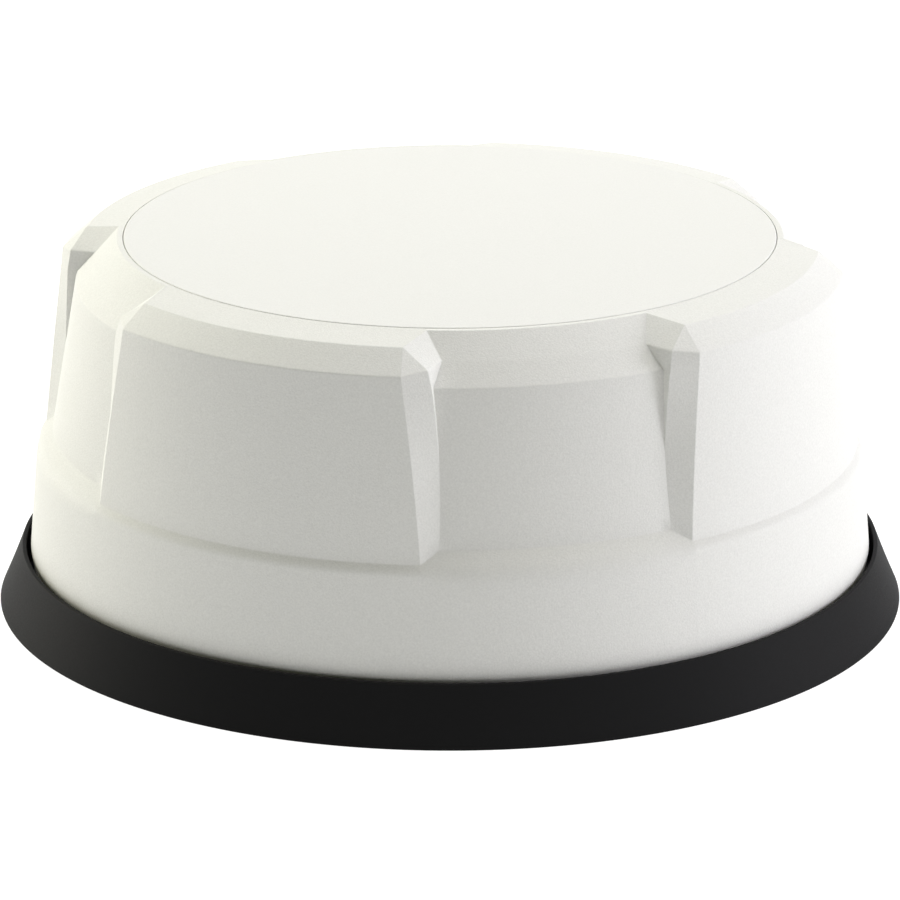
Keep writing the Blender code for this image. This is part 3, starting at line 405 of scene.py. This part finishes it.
def rounded_block(name, low, high, stuff=None, bevel=0.0):
    """A box between two corners, with rounded edges if it has a bevel."""
    builder = bmesh.new()
    bmesh.ops.create_cube(builder, size=1.0)
    low, high = Vector(low), Vector(high)
    for vertex in builder.verts:
        share = vertex.co + Vector((0.5, 0.5, 0.5))
        vertex.co = Vector([low[k] + (high[k] - low[k]) * share[k] for k in range(3)])
    if bevel:
        bmesh.ops.bevel(builder, geom=list(builder.edges), offset=bevel, segments=3,
                        profile=0.5, affect="EDGES")
    return finished(name, builder, stuff)


def rod_x(name, half_length, radius, centre, stuff=None, edge=0.0):
    """A round bar along X. Edge is how far its ends are rounded."""
    outline = [(0.0, -half_length), (radius, -half_length), (radius, half_length),
               (0.0, half_length)]
    made = turned(name, softened(outline, [0.0, edge, edge, 0.0]), stuff, steps=32)
    made.data.transform(Matrix.Rotation(math.radians(90.0), 4, "Y"))
    made.data.transform(Matrix.Translation(centre))
    return made


def drum(name, radius, low_z, high_z, centre=(0.0, 0.0), steps=48):
    """A plain cylinder to cut or join with, turned half a step off its target's edges."""
    return turned(name, [(0.0, low_z), (radius, low_z), (radius, high_z), (0.0, high_z)],
                  None, centre, steps, 180.0 / steps)


def carve(made, cuts=(), joins=(), soften=0.0):
    """Joins shapes to a piece, cuts others out of it, and softens its sharp edges."""
    made.modifiers.clear()
    for tools, operation in ((joins, "UNION"), (cuts, "DIFFERENCE")):
        for tool in tools:
            tool.modifiers.clear()
            modifier = made.modifiers.new("carve", "BOOLEAN")
            modifier.operation = operation
            modifier.solver = "EXACT"
            modifier.object = tool
    if soften:
        soften_edges(made, soften)
    bpy.context.view_layer.update()
    shape = made.evaluated_get(bpy.context.evaluated_depsgraph_get())
    mesh = bpy.data.meshes.new_from_object(shape)
    made.modifiers.clear()
    made.data = mesh
    mesh.shade_smooth()
    mesh.set_sharp_from_angle(angle=math.radians(SHARP_ANGLE))
    for tool in (*joins, *cuts):
        bpy.data.objects.remove(tool)
    weight_normals(made)
    return made


def place(made, body, node):
    """A piece rides on a body and stands for a CAD node, which it hides."""
    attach(made, body)
    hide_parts(node)
    REPLACED.add(node)


def centre_of(node):
    """The middle of a CAD node's box."""
    low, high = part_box(node)
    return (low + high) / 2.0


def screw_places():
    """The number and the middle of each housing screw."""
    for number in range(1, SCREW_COUNT + 1):
        yield number, centre_of(f"housing_screw_{number}")


def screw_drums(radius, low_z, high_z):
    """A drill at each housing screw."""
    return [drum("drill", radius, low_z, high_z, centre.xy, 24) for _, centre in screw_places()]


# ---- materials -----------------------------------------------------------------------------

def new_material(name):
    """A material and its shader, ready for nodes."""
    made = bpy.data.materials.new(name)
    made.use_nodes = True
    return made, made.node_tree, made.node_tree.nodes["Principled BSDF"]


def object_noise(tree, scale, detail=3.0):
    """Noise in the object's own coordinates. Scale is in features per metre."""
    coordinates = tree.nodes.new("ShaderNodeTexCoord")
    noise = tree.nodes.new("ShaderNodeTexNoise")
    noise.inputs["Scale"].default_value = scale
    noise.inputs["Detail"].default_value = detail
    tree.links.new(coordinates.outputs["Object"], noise.inputs["Vector"])
    return noise


def vary_roughness(tree, shader, noise, low, high):
    """Roughness from low to high over the middle of the noise's range."""
    spread = tree.nodes.new("ShaderNodeMapRange")
    spread.inputs["From Min"].default_value = 0.3
    spread.inputs["From Max"].default_value = 0.7
    spread.inputs["To Min"].default_value = low
    spread.inputs["To Max"].default_value = high
    tree.links.new(noise.outputs["Fac"], spread.inputs["Value"])
    tree.links.new(spread.outputs["Result"], shader.inputs["Roughness"])


def vary_colour(tree, shader, noise, first, second):
    mix = tree.nodes.new("ShaderNodeMix")
    mix.data_type = "RGBA"
    mix.inputs["A"].default_value = (*first, 1.0)
    mix.inputs["B"].default_value = (*second, 1.0)
    tree.links.new(noise.outputs["Fac"], mix.inputs["Factor"])
    tree.links.new(mix.outputs["Result"], shader.inputs["Base Color"])


def add_bump(tree, shader, noise, distance):
    bump = tree.nodes.new("ShaderNodeBump")
    bump.inputs["Strength"].default_value = 1.0
    bump.inputs["Distance"].default_value = distance
    tree.links.new(noise.outputs["Fac"], bump.inputs["Height"])
    tree.links.new(bump.outputs["Normal"], shader.inputs["Normal"])


def grained(name, first, second, roughness, grain, depth, metallic=0.0, mottle=60.0,
            specular=0.5):
    """A moulded or blasted surface that varies between two colours. Grain is the size of its
    texture and depth its height in metres, mottle how many patches of colour there are to a
    metre."""
    made, tree, shader = new_material(name)
    shader.inputs["Specular IOR Level"].default_value = specular
    shader.inputs["Metallic"].default_value = metallic
    broad = object_noise(tree, mottle)
    vary_colour(tree, shader, broad, first, second)
    fine = object_noise(tree, 1.0 / grain, 2.0)
    spread = 0.05
    vary_roughness(tree, shader, fine, roughness - spread, roughness + spread)
    add_bump(tree, shader, fine, depth)
    return made


def make_finishes():
    """The finishes by the name of the record's material slot. Each call gives two colours,
    roughness, grain, depth and, where they differ from the plain ones, the metallic value
    and the mottle."""
    return {
        "radome_plastic": grained("radome_plastic", (0.71, 0.71, 0.684), (0.90, 0.90, 0.87),
                                  0.55, 0.00030, 0.000060, mottle=2600.0),
        "disc_plastic": grained("disc_plastic", (0.77, 0.77, 0.752), (0.86, 0.86, 0.842),
                                0.52, 0.00030, 0.000040, mottle=2600.0),
        "skirt_plastic": grained("skirt_plastic", (0.0105, 0.0105, 0.0110),
                                 (0.0116, 0.0116, 0.0121), 0.60, 0.0003, 0.000012,
                                 specular=0.05),
        "cast_aluminium": grained("cast_aluminium", (0.50, 0.51, 0.52), (0.56, 0.57, 0.58),
                                  0.50, 0.0004, 0.000020, metallic=1.0),
        "spun_aluminium": grained("spun_aluminium", (0.72, 0.73, 0.74), (0.78, 0.79, 0.80),
                                  0.32, 0.0002, 0.000005, metallic=1.0),
        "steel": grained("steel", (0.58, 0.58, 0.57), (0.64, 0.64, 0.63), 0.28, 0.0002,
                         0.000004, metallic=1.0),
        "brass": grained("brass", (0.74, 0.53, 0.22), (0.80, 0.60, 0.28), 0.30, 0.0002,
                         0.000004, metallic=1.0),
        "rubber": grained("rubber", (0.018, 0.018, 0.018), (0.024, 0.024, 0.024), 0.72,
                          0.0002, 0.000010),
        "black_plastic": grained("black_plastic", (0.022, 0.022, 0.024),
                                 (0.028, 0.028, 0.030), 0.50, 0.0003, 0.000012),
        "board": grained("board", (0.015, 0.13, 0.055), (0.022, 0.17, 0.075), 0.42, 0.0004,
                         0.000006, mottle=400.0),
        "ceramic": grained("ceramic", (0.68, 0.62, 0.51), (0.74, 0.68, 0.57), 0.60, 0.0003,
                           0.000010),
        "shield": grained("shield", (0.64, 0.64, 0.62), (0.70, 0.70, 0.68), 0.34, 0.0002,
                          0.000004, metallic=1.0),
        "copper": grained("copper", (0.78, 0.42, 0.25), (0.84, 0.49, 0.30), 0.30, 0.0002,
                          0.000004, metallic=1.0),
    }


# ---- housing -------------------------------------------------------------------------------

def make_radome(finishes):
    """The white shell, one column of points after another round its levels."""
    rings = [level_points(level) for level in RADOME_LEVELS]
    builder = bmesh.new()
    columns = []
    for j in range(len(rings[0])):
        profile = column_profile([ring[j] for ring in rings], RADOME_LEVELS)
        columns.append([builder.verts.new(point) for point in profile])
    for j, column in enumerate(columns):
        following = columns[(j + 1) % len(columns)]
        for k in range(len(column) - 1):
            builder.faces.new([column[k], column[k + 1], following[k + 1], following[k]])
    close_end(builder, [column[0] for column in columns], (0.0, 0.0, DISC_SEAT_Z))
    close_end(builder, [column[-1] for column in columns], (0.0, 0.0, CEILING_Z))
    facet_angle = 24.0
    made = finished("radome_shell", builder, finishes["radome_plastic"], facet_angle)
    place(made, "root", "radome")


def make_cover_disc(finishes):
    """The slightly crowned disc with a rounded rim."""
    edge = 0.0003
    crown_rings = 10
    profile = [(0.0, DISC_LOW.z), (DISC_RADIUS, DISC_LOW.z)]
    crown = [(DISC_RADIUS * (1.0 - i / crown_rings),
              DISC_RIM_Z + (DISC_TOP_Z - DISC_RIM_Z) * (1.0 - (1.0 - i / crown_rings) ** 2))
             for i in range(crown_rings + 1)]
    corner = rounded_corner(Vector((DISC_RADIUS, DISC_LOW.z, 0.0)),
                            Vector((*crown[0], 0.0)), Vector((*crown[1], 0.0)), edge, 4)
    profile += [(point.x, point.y) for point in corner] + crown[1:]
    made = turned("cover_disc", profile, finishes["disc_plastic"], steps=240)
    place(made, "root", "top_disc")


def make_base_ring(finishes):
    """The flared black ring, a little hollow up its flank, with its lip and screw holes."""
    bore, lip, lip_inner, shelf = 0.0790, 0.0882, 0.0874, 0.0037
    foot, hollow, flare_steps = 0.0002, 0.0001, 12
    flare = []
    for step in range(flare_steps + 1):
        share = step / flare_steps
        bulge = hollow * 4.0 * share * (1.0 - share)
        flare.append((SKIRT_RADIUS + (lip - SKIRT_RADIUS) * share - bulge,
                      foot + (LIP_Z - foot) * share))
    outline = [(bore, 0.0), (SKIRT_RADIUS - foot * 0.5, 0.0), *flare, (lip_inner, LIP_Z),
               (lip_inner, shelf), (bore, shelf)]
    fine, edge, fillet = 0.0001, 0.0002, 0.0003
    reaches = [fillet, fine, fine, *[0.0] * (flare_steps - 1), edge, edge, fillet, edge]
    made = turned("base_ring", softened(outline, reaches), finishes["skirt_plastic"],
                  steps=240)
    counterbore_top = BASE_LOW.z + 0.0018
    carve(made, screw_drums(SCREW_HOLE_RADIUS, -TOOL_REACH, shelf + TOOL_REACH)
          + screw_drums(COUNTERBORE_RADIUS, -TOOL_REACH, counterbore_top))
    place(made, "root", "skirt_ring")


def make_base_casting(finishes):
    """The cast base with its wells, bores and seal groove, every edge softened."""
    plate, flange, pocket = 0.0787, 0.0860, 0.0752
    bottom, top, flange_low, flange_high = BASE_LOW.z, 0.0060, 0.0040, 0.0091
    groove_in, groove_out, groove_z = 0.0776, 0.0804, 0.0070
    boss, boss_top, wall, chamfer = 0.0155, 0.0215, 0.0025, 0.0006
    service_half, service_front, service_back, service_top = 0.0143, -0.0526, -0.0382, 0.0160
    outline = [
        (0.0, bottom), (plate - chamfer, bottom), (plate, bottom + chamfer), (plate, flange_low),
        (flange, flange_low), (flange, flange_high), (groove_out, flange_high),
        (groove_out, groove_z), (groove_in, groove_z), (groove_in, flange_high),
        (pocket, flange_high), (pocket, top), (0.0, top),
    ]
    made = turned("cast_base", outline, finishes["cast_aluminium"], steps=160)
    sunk, through = top - TOOL_REACH, top + TOOL_REACH
    well_y = centre_of("connector_shell").y
    key_x, vent_x = centre_of("power_key").x, centre_of("pressure_vent").x
    door_low, door_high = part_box("service_door")
    pin_low, pin_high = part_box("door_hinge_pin")
    hinge = (pin_low + pin_high) / 2.0
    joins = [
        drum("boss", boss, sunk, boss_top, steps=96),
        drum("well_solid", WELL_RADIUS + wall, sunk, WELL_CEILING_Z + wall, (0.0, well_y), 96),
        rounded_block("service_solid", (-service_half - wall, service_front - wall, sunk),
                      (service_half + wall, service_back + wall, service_top + wall)),
    ]
    clearance, door_bed, hinge_room_y, pin_half = 0.0004, 0.0049, -0.0324, 0.0190
    stud_hole, key_hole, vent_hole, vent_recess, vent_bed = 0.0073, 0.0053, 0.0028, 0.0065, 0.0032
    cuts = [
        drum("insert_pocket", INSERT_HIGH.x + FIT, -TOOL_REACH, INSERT_HIGH.z + FIT, steps=72),
        drum("well_hollow", WELL_RADIUS, -TOOL_REACH, WELL_CEILING_Z, (0.0, well_y), 72),
        drum("stud_hole", stud_hole, WELL_CEILING_Z - TOOL_REACH,
             WELL_CEILING_Z + wall + TOOL_REACH, (0.0, well_y)),
        rounded_block("door_opening",
                      (door_low.x - clearance, door_low.y - clearance, -TOOL_REACH),
                      (door_high.x + clearance, hinge_room_y, door_bed)),
        rounded_block("service_hollow", (-service_half, service_front, door_bed - TOOL_REACH),
                      (service_half, service_back, service_top)),
        rod_x("pin_holes", pin_half, pin_high.z - hinge.z + FIT / 2, hinge),
        drum("key_hole", key_hole, -TOOL_REACH, through, (key_x, 0.0)),
        drum("vent_hole", vent_hole, -TOOL_REACH, through, (vent_x, 0.0)),
        drum("vent_recess", vent_recess, -TOOL_REACH, vent_bed, (vent_x, 0.0)),
        *screw_drums(SCREW_HOLE_RADIUS, flange_low - TOOL_REACH, flange_high + TOOL_REACH),
    ]
    carve(made, cuts, joins, soften=0.0002)
    place(made, "root", "base_casting")


def make_housing_screws(finishes):
    """Button-head screws with hexagon sockets and cut threads."""
    low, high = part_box("housing_screw_1")
    head_radius = (high.x - low.x) / 2.0
    head_top, shank, pitch = low.z + SCREW_HEAD_HEIGHT, 0.0015, 0.0005
    socket_radius, socket_depth, axis_hole = 0.0013, 0.0012, 0.0004
    for number, centre in screw_places():
        rows = wall_rows(shank, head_top, high.z, pitch / 6.0)
        outline = [(axis_hole, low.z), (head_radius - 0.0007, low.z),
                   (head_radius - 0.0002, low.z + 0.0003), (head_radius, low.z + 0.0008),
                   (head_radius, head_top), *rows, (axis_hole, high.z)]
        made = revolved("screw", outline, finishes["steel"], centre.xy, 24,
                        thread_shape(shank, -0.0002, pitch, head_top + 0.0006, high.z))
        core = drum("core", axis_hole + 0.0001, low.z + socket_depth, high.z - FIT, centre.xy, 16)
        socket = turned("socket", [(0.0, low.z - FIT), (socket_radius, low.z - FIT),
                                   (socket_radius, low.z + socket_depth),
                                   (0.0, low.z + socket_depth)], None, centre.xy, 6)
        carve(made, [socket], [core])
        made.name = f"socket_screw_{number}"
        place(made, "root", f"housing_screw_{number}")


def make_pole_insert(finishes):
    """The brass insert with a 5/8 inch survey thread, eleven turns to the inch."""
    bore, depth, pitch = 0.0069, 0.0010, 0.002309
    outer, bottom, top = INSERT_HIGH.x, INSERT_LOW.z, INSERT_HIGH.z
    lead_in, edge = 0.0006, 0.0003
    rows = wall_rows(bore, top, bottom + lead_in, pitch / 10.0)
    outline = [(bore + lead_in, bottom), (outer - edge, bottom), (outer, bottom + edge),
               (outer, top - edge), (outer - edge, top), *rows]
    made = revolved("threaded_insert", outline, finishes["brass"], steps=96,
                    shape=thread_shape(bore, depth, pitch, bottom + lead_in, top))
    place(made, "root", "pole_insert")


def make_pressure_vent(finishes):
    """A low cap with three crossing slots that let air past its membrane."""
    low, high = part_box("pressure_vent")
    centre = (low + high) / 2.0
    rim = (high.x - low.x) / 2.0
    back, stem, slot_length, slot_width, slot_depth = 0.0029, 0.0025, 0.0080, 0.0008, 0.0007
    outline = [(0.0, low.z), (rim - 0.0010, low.z), (rim, low.z + 0.0008), (rim, back),
               (stem, back), (stem, high.z), (0.0, high.z)]
    made = turned("vent_cap", outline, finishes["black_plastic"], centre.xy, 64)
    slots = []
    for turn in (0.0, 60.0, 120.0):
        slot = rounded_block("slot", (-slot_length / 2, -slot_width / 2, low.z - FIT),
                             (slot_length / 2, slot_width / 2, low.z + slot_depth))
        slot.data.transform(Matrix.Rotation(math.radians(turn), 4, "Z"))
        slot.data.transform(Matrix.Translation((centre.x, centre.y, 0.0)))
        slots.append(slot)
    carve(made, slots, soften=0.00015)
    place(made, "root", "pressure_vent")


def make_connector(finishes):
    """The threaded shell with its hexagon up to the flat seal, the contacts and the nut."""
    low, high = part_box("connector_shell")
    centre = ((low + high) / 2.0).xy
    radius, bore, stud, stud_bore = 0.0080, 0.0064, 0.0070, 0.0054
    face_low, face_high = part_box("connector_insert")
    hex_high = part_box("connector_seal")[0].z - FIT
    hex_low, step_z, edge = hex_high - 0.0025, face_low.z + 0.0020, 0.0004
    pitch = 0.0010
    rows = wall_rows(radius, low.z + edge, hex_high, pitch / 8.0)
    outline = [(bore, low.z), (radius - edge, low.z), *rows, (stud, hex_high), (stud, high.z),
               (stud_bore, high.z), (stud_bore, step_z), (bore, step_z)]
    shell = revolved("threaded_shell", outline, finishes["steel"], centre, 72,
                     thread_shape(radius, -0.0004, pitch, low.z + edge, hex_low - pitch))
    hex_radius, hex_bore = 0.0115, radius - 0.0004
    hexagon = revolved("hexagon", [(hex_bore, hex_low), (hex_radius, hex_low),
                                   (hex_radius, hex_high), (hex_bore, hex_high)],
                       None, centre, 6)
    carve(shell, joins=[hexagon])
    place(shell, "root", "connector_shell")

    body, neck, neck_z = 0.0060, 0.0050, face_low.z + 0.0016
    outline = [(0.0, face_low.z), (body, face_low.z), (body, neck_z), (neck, neck_z),
               (neck, face_high.z), (0.0, face_high.z)]
    insert = turned("contact_body", outline, finishes["black_plastic"], centre, 64)
    contact_radius, contact_circle, contact_angle, contact_top = 0.0006, 0.0036, 45.0, 0.0030
    spots = [centre] + [centre + polar(contact_circle, contact_angle * i, 0.0).xy for i in range(7)]
    sockets = [drum("contact", contact_radius, face_low.z - FIT, face_low.z + contact_top, spot, 16)
               for spot in spots]
    key_half, key_outer, key_inner, key_depth = 0.0007, 0.0062, 0.0054, 0.0014
    sockets.append(rounded_block("key_way", (-key_half, centre.y - key_outer, face_low.z - FIT),
                                 (key_half, centre.y - key_inner, face_low.z + key_depth)))
    carve(insert, sockets, soften=0.0001)
    place(insert, "root", "connector_insert")

    nut_low, nut_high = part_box("connector_nut")
    nut_bore, nut_radius = 0.0073, 0.0108
    nut = revolved("hexagon_nut", [(nut_bore, nut_low.z), (nut_radius, nut_low.z),
                                   (nut_radius, nut_high.z), (nut_bore, nut_high.z)],
                   finishes["steel"], centre, 6)
    carve(nut, [drum("nut_bore", nut_bore, nut_low.z - FIT, nut_high.z + FIT, centre, 64)],
          soften=0.0002)
    place(nut, "root", "connector_nut")


def make_dust_cap(finishes):
    """The plug with its moulded face, and the ribbed ring that carries it."""
    low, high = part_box("cap_plug")
    centre = ((low + high) / 2.0).xy
    face, plug, step_z = 0.0062, 0.0078, low.z + 0.0014
    dish, dish_rim, dish_z = 0.0040, 0.0045, low.z + 0.0004
    outline = [(0.0, dish_z), (dish, dish_z), (dish_rim, low.z), (face, low.z),
               (face, step_z), (plug, step_z), (plug, high.z), (0.0, high.z)]
    reaches = [0.0, 0.0002, 0.0002, 0.0003, 0.0001, 0.0002, 0.0003, 0.0]
    made = turned("plug_face", softened(outline, reaches), finishes["rubber"], centre, 72)
    place(made, "cap_plug", "cap_plug")

    low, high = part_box("cap_ring")
    outer, inner, mouth = (high.x - low.x) / 2.0, 0.0083, face + FIT
    ribs, rib_depth, thread_pitch = 24, 0.0005, 0.0010
    rows = wall_rows(inner, high.z, step_z - FIT, thread_pitch / 8.0)
    outline = [(mouth, low.z), (outer - 0.0010, low.z), (outer - 0.0004, low.z + 0.0002),
               (outer, low.z + 0.0008), *wall_rows(outer, low.z + 0.0012, high.z - 0.0006, 0.001),
               (outer - 0.0004, high.z), *rows, (mouth, step_z - FIT)]
    thread = thread_shape(inner, 0.0003, thread_pitch, step_z + 0.0004, high.z)

    def ribbed(radius, degrees, z):
        wave = 0.5 - 0.5 * math.cos(math.radians(degrees * ribs))
        if radius > outer - 0.0002:
            return radius - rib_depth * wave ** 2
        return thread(radius, degrees, z)

    made = revolved("ribbed_ring", outline, finishes["black_plastic"], centre, 8 * ribs,
                    ribbed)
    place(made, "cap_ring", "cap_ring")


def make_service_door(finishes):
    """The door with its grip ribs, finger notch and hinge knuckle, and the hinge's pin."""
    low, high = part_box("service_door")
    pin_low, pin_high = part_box("door_hinge_pin")
    hinge = (pin_low + pin_high) / 2.0
    knuckle, knuckle_half = 0.0014, 0.0120
    plate_low, plate_high, web_low, web_high = 0.0013, 0.0033, 0.0017, 0.0031
    door = rounded_block("door_panel", (low.x, low.y, plate_low),
                         (high.x, DOOR_NEAR_Y, plate_high), finishes["black_plastic"], 0.0004)
    joins = [rounded_block("web", (-knuckle_half, DOOR_NEAR_Y - TOOL_REACH, web_low),
                           (knuckle_half, hinge.y, web_high)),
             rod_x("knuckle", knuckle_half, knuckle, hinge)]
    grip_half, grip_start, grip_pitch = 0.0070, 0.0022, 0.0012
    grip_width, grip_depth = 0.0006, 0.0002
    grip = []
    for groove in range(4):
        start = low.y + grip_start + grip_pitch * groove
        grip.append(rounded_block("grip", (-grip_half, start, plate_low - FIT),
                                  (grip_half, start + grip_width, plate_low + grip_depth)))
    notch_half, notch_radius, pin_room = 0.0040, 0.0012, 0.0001
    cuts = [rod_x("bore", knuckle_half + TOOL_REACH, pin_high.z - hinge.z + pin_room, hinge),
            rod_x("finger_notch", notch_half, notch_radius, Vector((0.0, low.y, plate_low))),
            *grip]
    carve(door, cuts, joins, soften=0.0001)
    place(door, "service_door", "service_door")
    half_length, radius = (pin_high.x - pin_low.x) / 2.0, (pin_high.z - pin_low.z) / 2.0
    pin = rod_x("hinge_pin", half_length, radius, hinge, finishes["steel"], edge=0.0002)
    place(pin, "root", "door_hinge_pin")


def make_power_key(finishes):
    """The moulded key with its finger dish, its flange and the stem that works the switch."""
    low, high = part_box("power_key")
    centre = ((low + high) / 2.0).xy
    key, stem, flange_low, flange_high = 0.0050, 0.0020, 0.0076, 0.0088
    flange = (high.x - low.x) / 2.0
    dish, dish_rim, face, shoulder = 0.0022, 0.0026, 0.0042, 0.0007
    outline = [(0.0, low.z + 0.0004), (dish, low.z + 0.0003), (dish_rim, low.z),
               (face, low.z), (key, low.z + shoulder), (key, flange_low),
               (flange, flange_low), (flange, flange_high), (stem, flange_high),
               (stem, high.z), (0.0, high.z)]
    reaches = [0.0, 0.0003, 0.0002, 0.0006, 0.0003, 0.0003, 0.0002, 0.0002, 0.0003, 0.0002, 0.0]
    made = turned("key_dome", softened(outline, reaches), finishes["rubber"], centre, 64)
    place(made, "power_key", "power_key")


def finish_nodes(finishes):
    """Gives every CAD node its procedural finish, and soft edges to those that still show."""
    for subpart in frame["record"]["subparts"]:
        node = frame["nodes"][subpart["node"]]
        node.data.materials.clear()
        node.data.materials.append(finishes[subpart["material_slot"]])
        if subpart["node"] not in REPLACED:
            soften_edges(node, 0.00015)
            weight_normals(node)


# ---- stage, light and camera ---------------------------------------------------------------

FLOOR_HALF_SIZE = 12.0
FLOOR_GLOW = 0.828
WHITE = (1.0, 1.0, 1.0, 1.0)

NEUTRAL = (0.90, 0.92, 1.0)
# Name, azimuth from the camera to the right, elevation, size, power and colour
STUDIO_LIGHTS = [
    ("top", 0.0, 89.0, 0.9, 1.7, (0.80, 0.80, 1.0)),
    ("back_top", 180.0, 77.0, 0.8, 11.3, (0.90, 0.90, 1.0)),
    ("right_top", 90.0, 68.0, 0.8, 4.9, (1.0, 0.96, 0.75)),
    ("left_top", -90.0, 68.0, 0.8, 2.7, (0.98, 1.0, 0.60)),
    ("right_low", 90.0, 12.0, 0.7, 12.3, (0.95, 0.94, 1.0)),
    ("left_low", -120.0, 12.0, 0.7, 10.4, (1.0, 0.97, 0.86)),
    ("left_back", -135.0, 40.0, 0.8, 3.6, (0.98, 1.0, 0.69)),
    ("right_back", 135.0, 40.0, 0.8, 1.4, NEUTRAL),
]
SURROUND_GLOSS = 0.9  # how bright the white surroundings are in the receiver's gloss
LIGHT_DISTANCE = 1.5
LIGHT_AIM = Vector((0.0, 0.0, 0.04))

CAMERA_AZIMUTH = 29.85
CAMERA_ELEVATION = 19.794
CAMERA_DISTANCE = 1.14766
CAMERA_PITCH = 18.378
CAMERA_LENS = 221.12
SENSOR_WIDTH = 36.0


def make_camera():
    """A long lens from the front, a little above the receiver."""
    camera = bpy.data.objects.new("camera", bpy.data.cameras.new("camera"))
    bpy.context.scene.collection.objects.link(camera)
    camera.data.sensor_width = SENSOR_WIDTH
    camera.data.lens = CAMERA_LENS
    elevation = math.radians(CAMERA_ELEVATION)
    azimuth = math.radians(CAMERA_AZIMUTH)
    flat = CAMERA_DISTANCE * math.cos(elevation)
    camera.location = (flat * math.sin(azimuth), -flat * math.cos(azimuth),
                       CAMERA_DISTANCE * math.sin(elevation))
    camera.rotation_euler = (math.radians(90.0 - CAMERA_PITCH), 0.0, azimuth)
    camera.data.clip_start = 0.05
    camera.data.clip_end = 50.0
    bpy.context.scene.camera = camera


def make_floor():
    """A pale floor that glows like a light table and lets views from below look through."""
    builder = bmesh.new()
    bmesh.ops.create_grid(builder, x_segments=1, y_segments=1, size=FLOOR_HALF_SIZE)
    made, tree, shader = new_material("floor")
    broad = object_noise(tree, 3.0)
    vary_colour(tree, shader, broad, (0.45, 0.45, 0.45), (0.46, 0.46, 0.46))
    shader.inputs["Roughness"].default_value = 1.0
    shader.inputs["Specular IOR Level"].default_value = 0.0
    shader.inputs["Emission Color"].default_value = WHITE
    shader.inputs["Emission Strength"].default_value = FLOOR_GLOW
    see_through = tree.nodes.new("ShaderNodeBsdfTransparent")
    geometry = tree.nodes.new("ShaderNodeNewGeometry")
    mix = tree.nodes.new("ShaderNodeMixShader")
    output = tree.nodes["Material Output"]
    tree.links.new(geometry.outputs["Backfacing"], mix.inputs["Fac"])
    tree.links.new(shader.outputs["BSDF"], mix.inputs[1])
    tree.links.new(see_through.outputs["BSDF"], mix.inputs[2])
    tree.links.new(mix.outputs["Shader"], output.inputs["Surface"])
    floor = finished("floor", builder, made, weighted=False)


def make_area_light(name, azimuth, elevation, size, power, colour):
    """A soft square light that looks at the receiver. Azimuth is measured from the camera's
    direction, to the right."""
    data = bpy.data.lights.new(name, "AREA")
    data.shape = "SQUARE"
    data.size = size
    data.energy = power
    data.color = colour
    light = bpy.data.objects.new(name, data)
    bpy.context.scene.collection.objects.link(light)
    around = math.radians(CAMERA_AZIMUTH + azimuth)
    above = math.radians(elevation)
    back = Vector((math.sin(around) * math.cos(above), -math.cos(around) * math.cos(above),
                   math.sin(above)))
    light.location = LIGHT_AIM + back * LIGHT_DISTANCE
    light.rotation_mode = "QUATERNION"
    light.rotation_quaternion = back.to_track_quat("Z", "Y")


def make_world():
    """A pale background that shows in the gloss and gives no other light."""
    world = bpy.data.worlds.new("studio")
    bpy.context.scene.world = world
    world.use_nodes = True
    tree = world.node_tree
    background = tree.nodes["Background"]
    background.inputs["Color"].default_value = WHITE
    path = tree.nodes.new("ShaderNodeLightPath")
    seen = tree.nodes.new("ShaderNodeMath")
    seen.operation = "MULTIPLY_ADD"
    seen.inputs[1].default_value = SURROUND_GLOSS
    tree.links.new(path.outputs["Is Glossy Ray"], seen.inputs[0])
    tree.links.new(path.outputs["Is Camera Ray"], seen.inputs[2])
    tree.links.new(seen.outputs["Value"], background.inputs["Strength"])


def make_lights():
    """The world, the soft lights and a plain view transform."""
    make_world()
    for light in STUDIO_LIGHTS:
        make_area_light(*light)
    bpy.context.scene.view_settings.view_transform = "Standard"


def main():
    finishes = make_finishes()
    make_camera()
    make_floor()
    make_lights()
    make_radome(finishes)
    make_cover_disc(finishes)
    make_base_ring(finishes)
    make_base_casting(finishes)
    make_housing_screws(finishes)
    make_pole_insert(finishes)
    make_pressure_vent(finishes)
    make_connector(finishes)
    make_dust_cap(finishes)
    make_service_door(finishes)
    make_power_key(finishes)
    finish_nodes(finishes)


main()
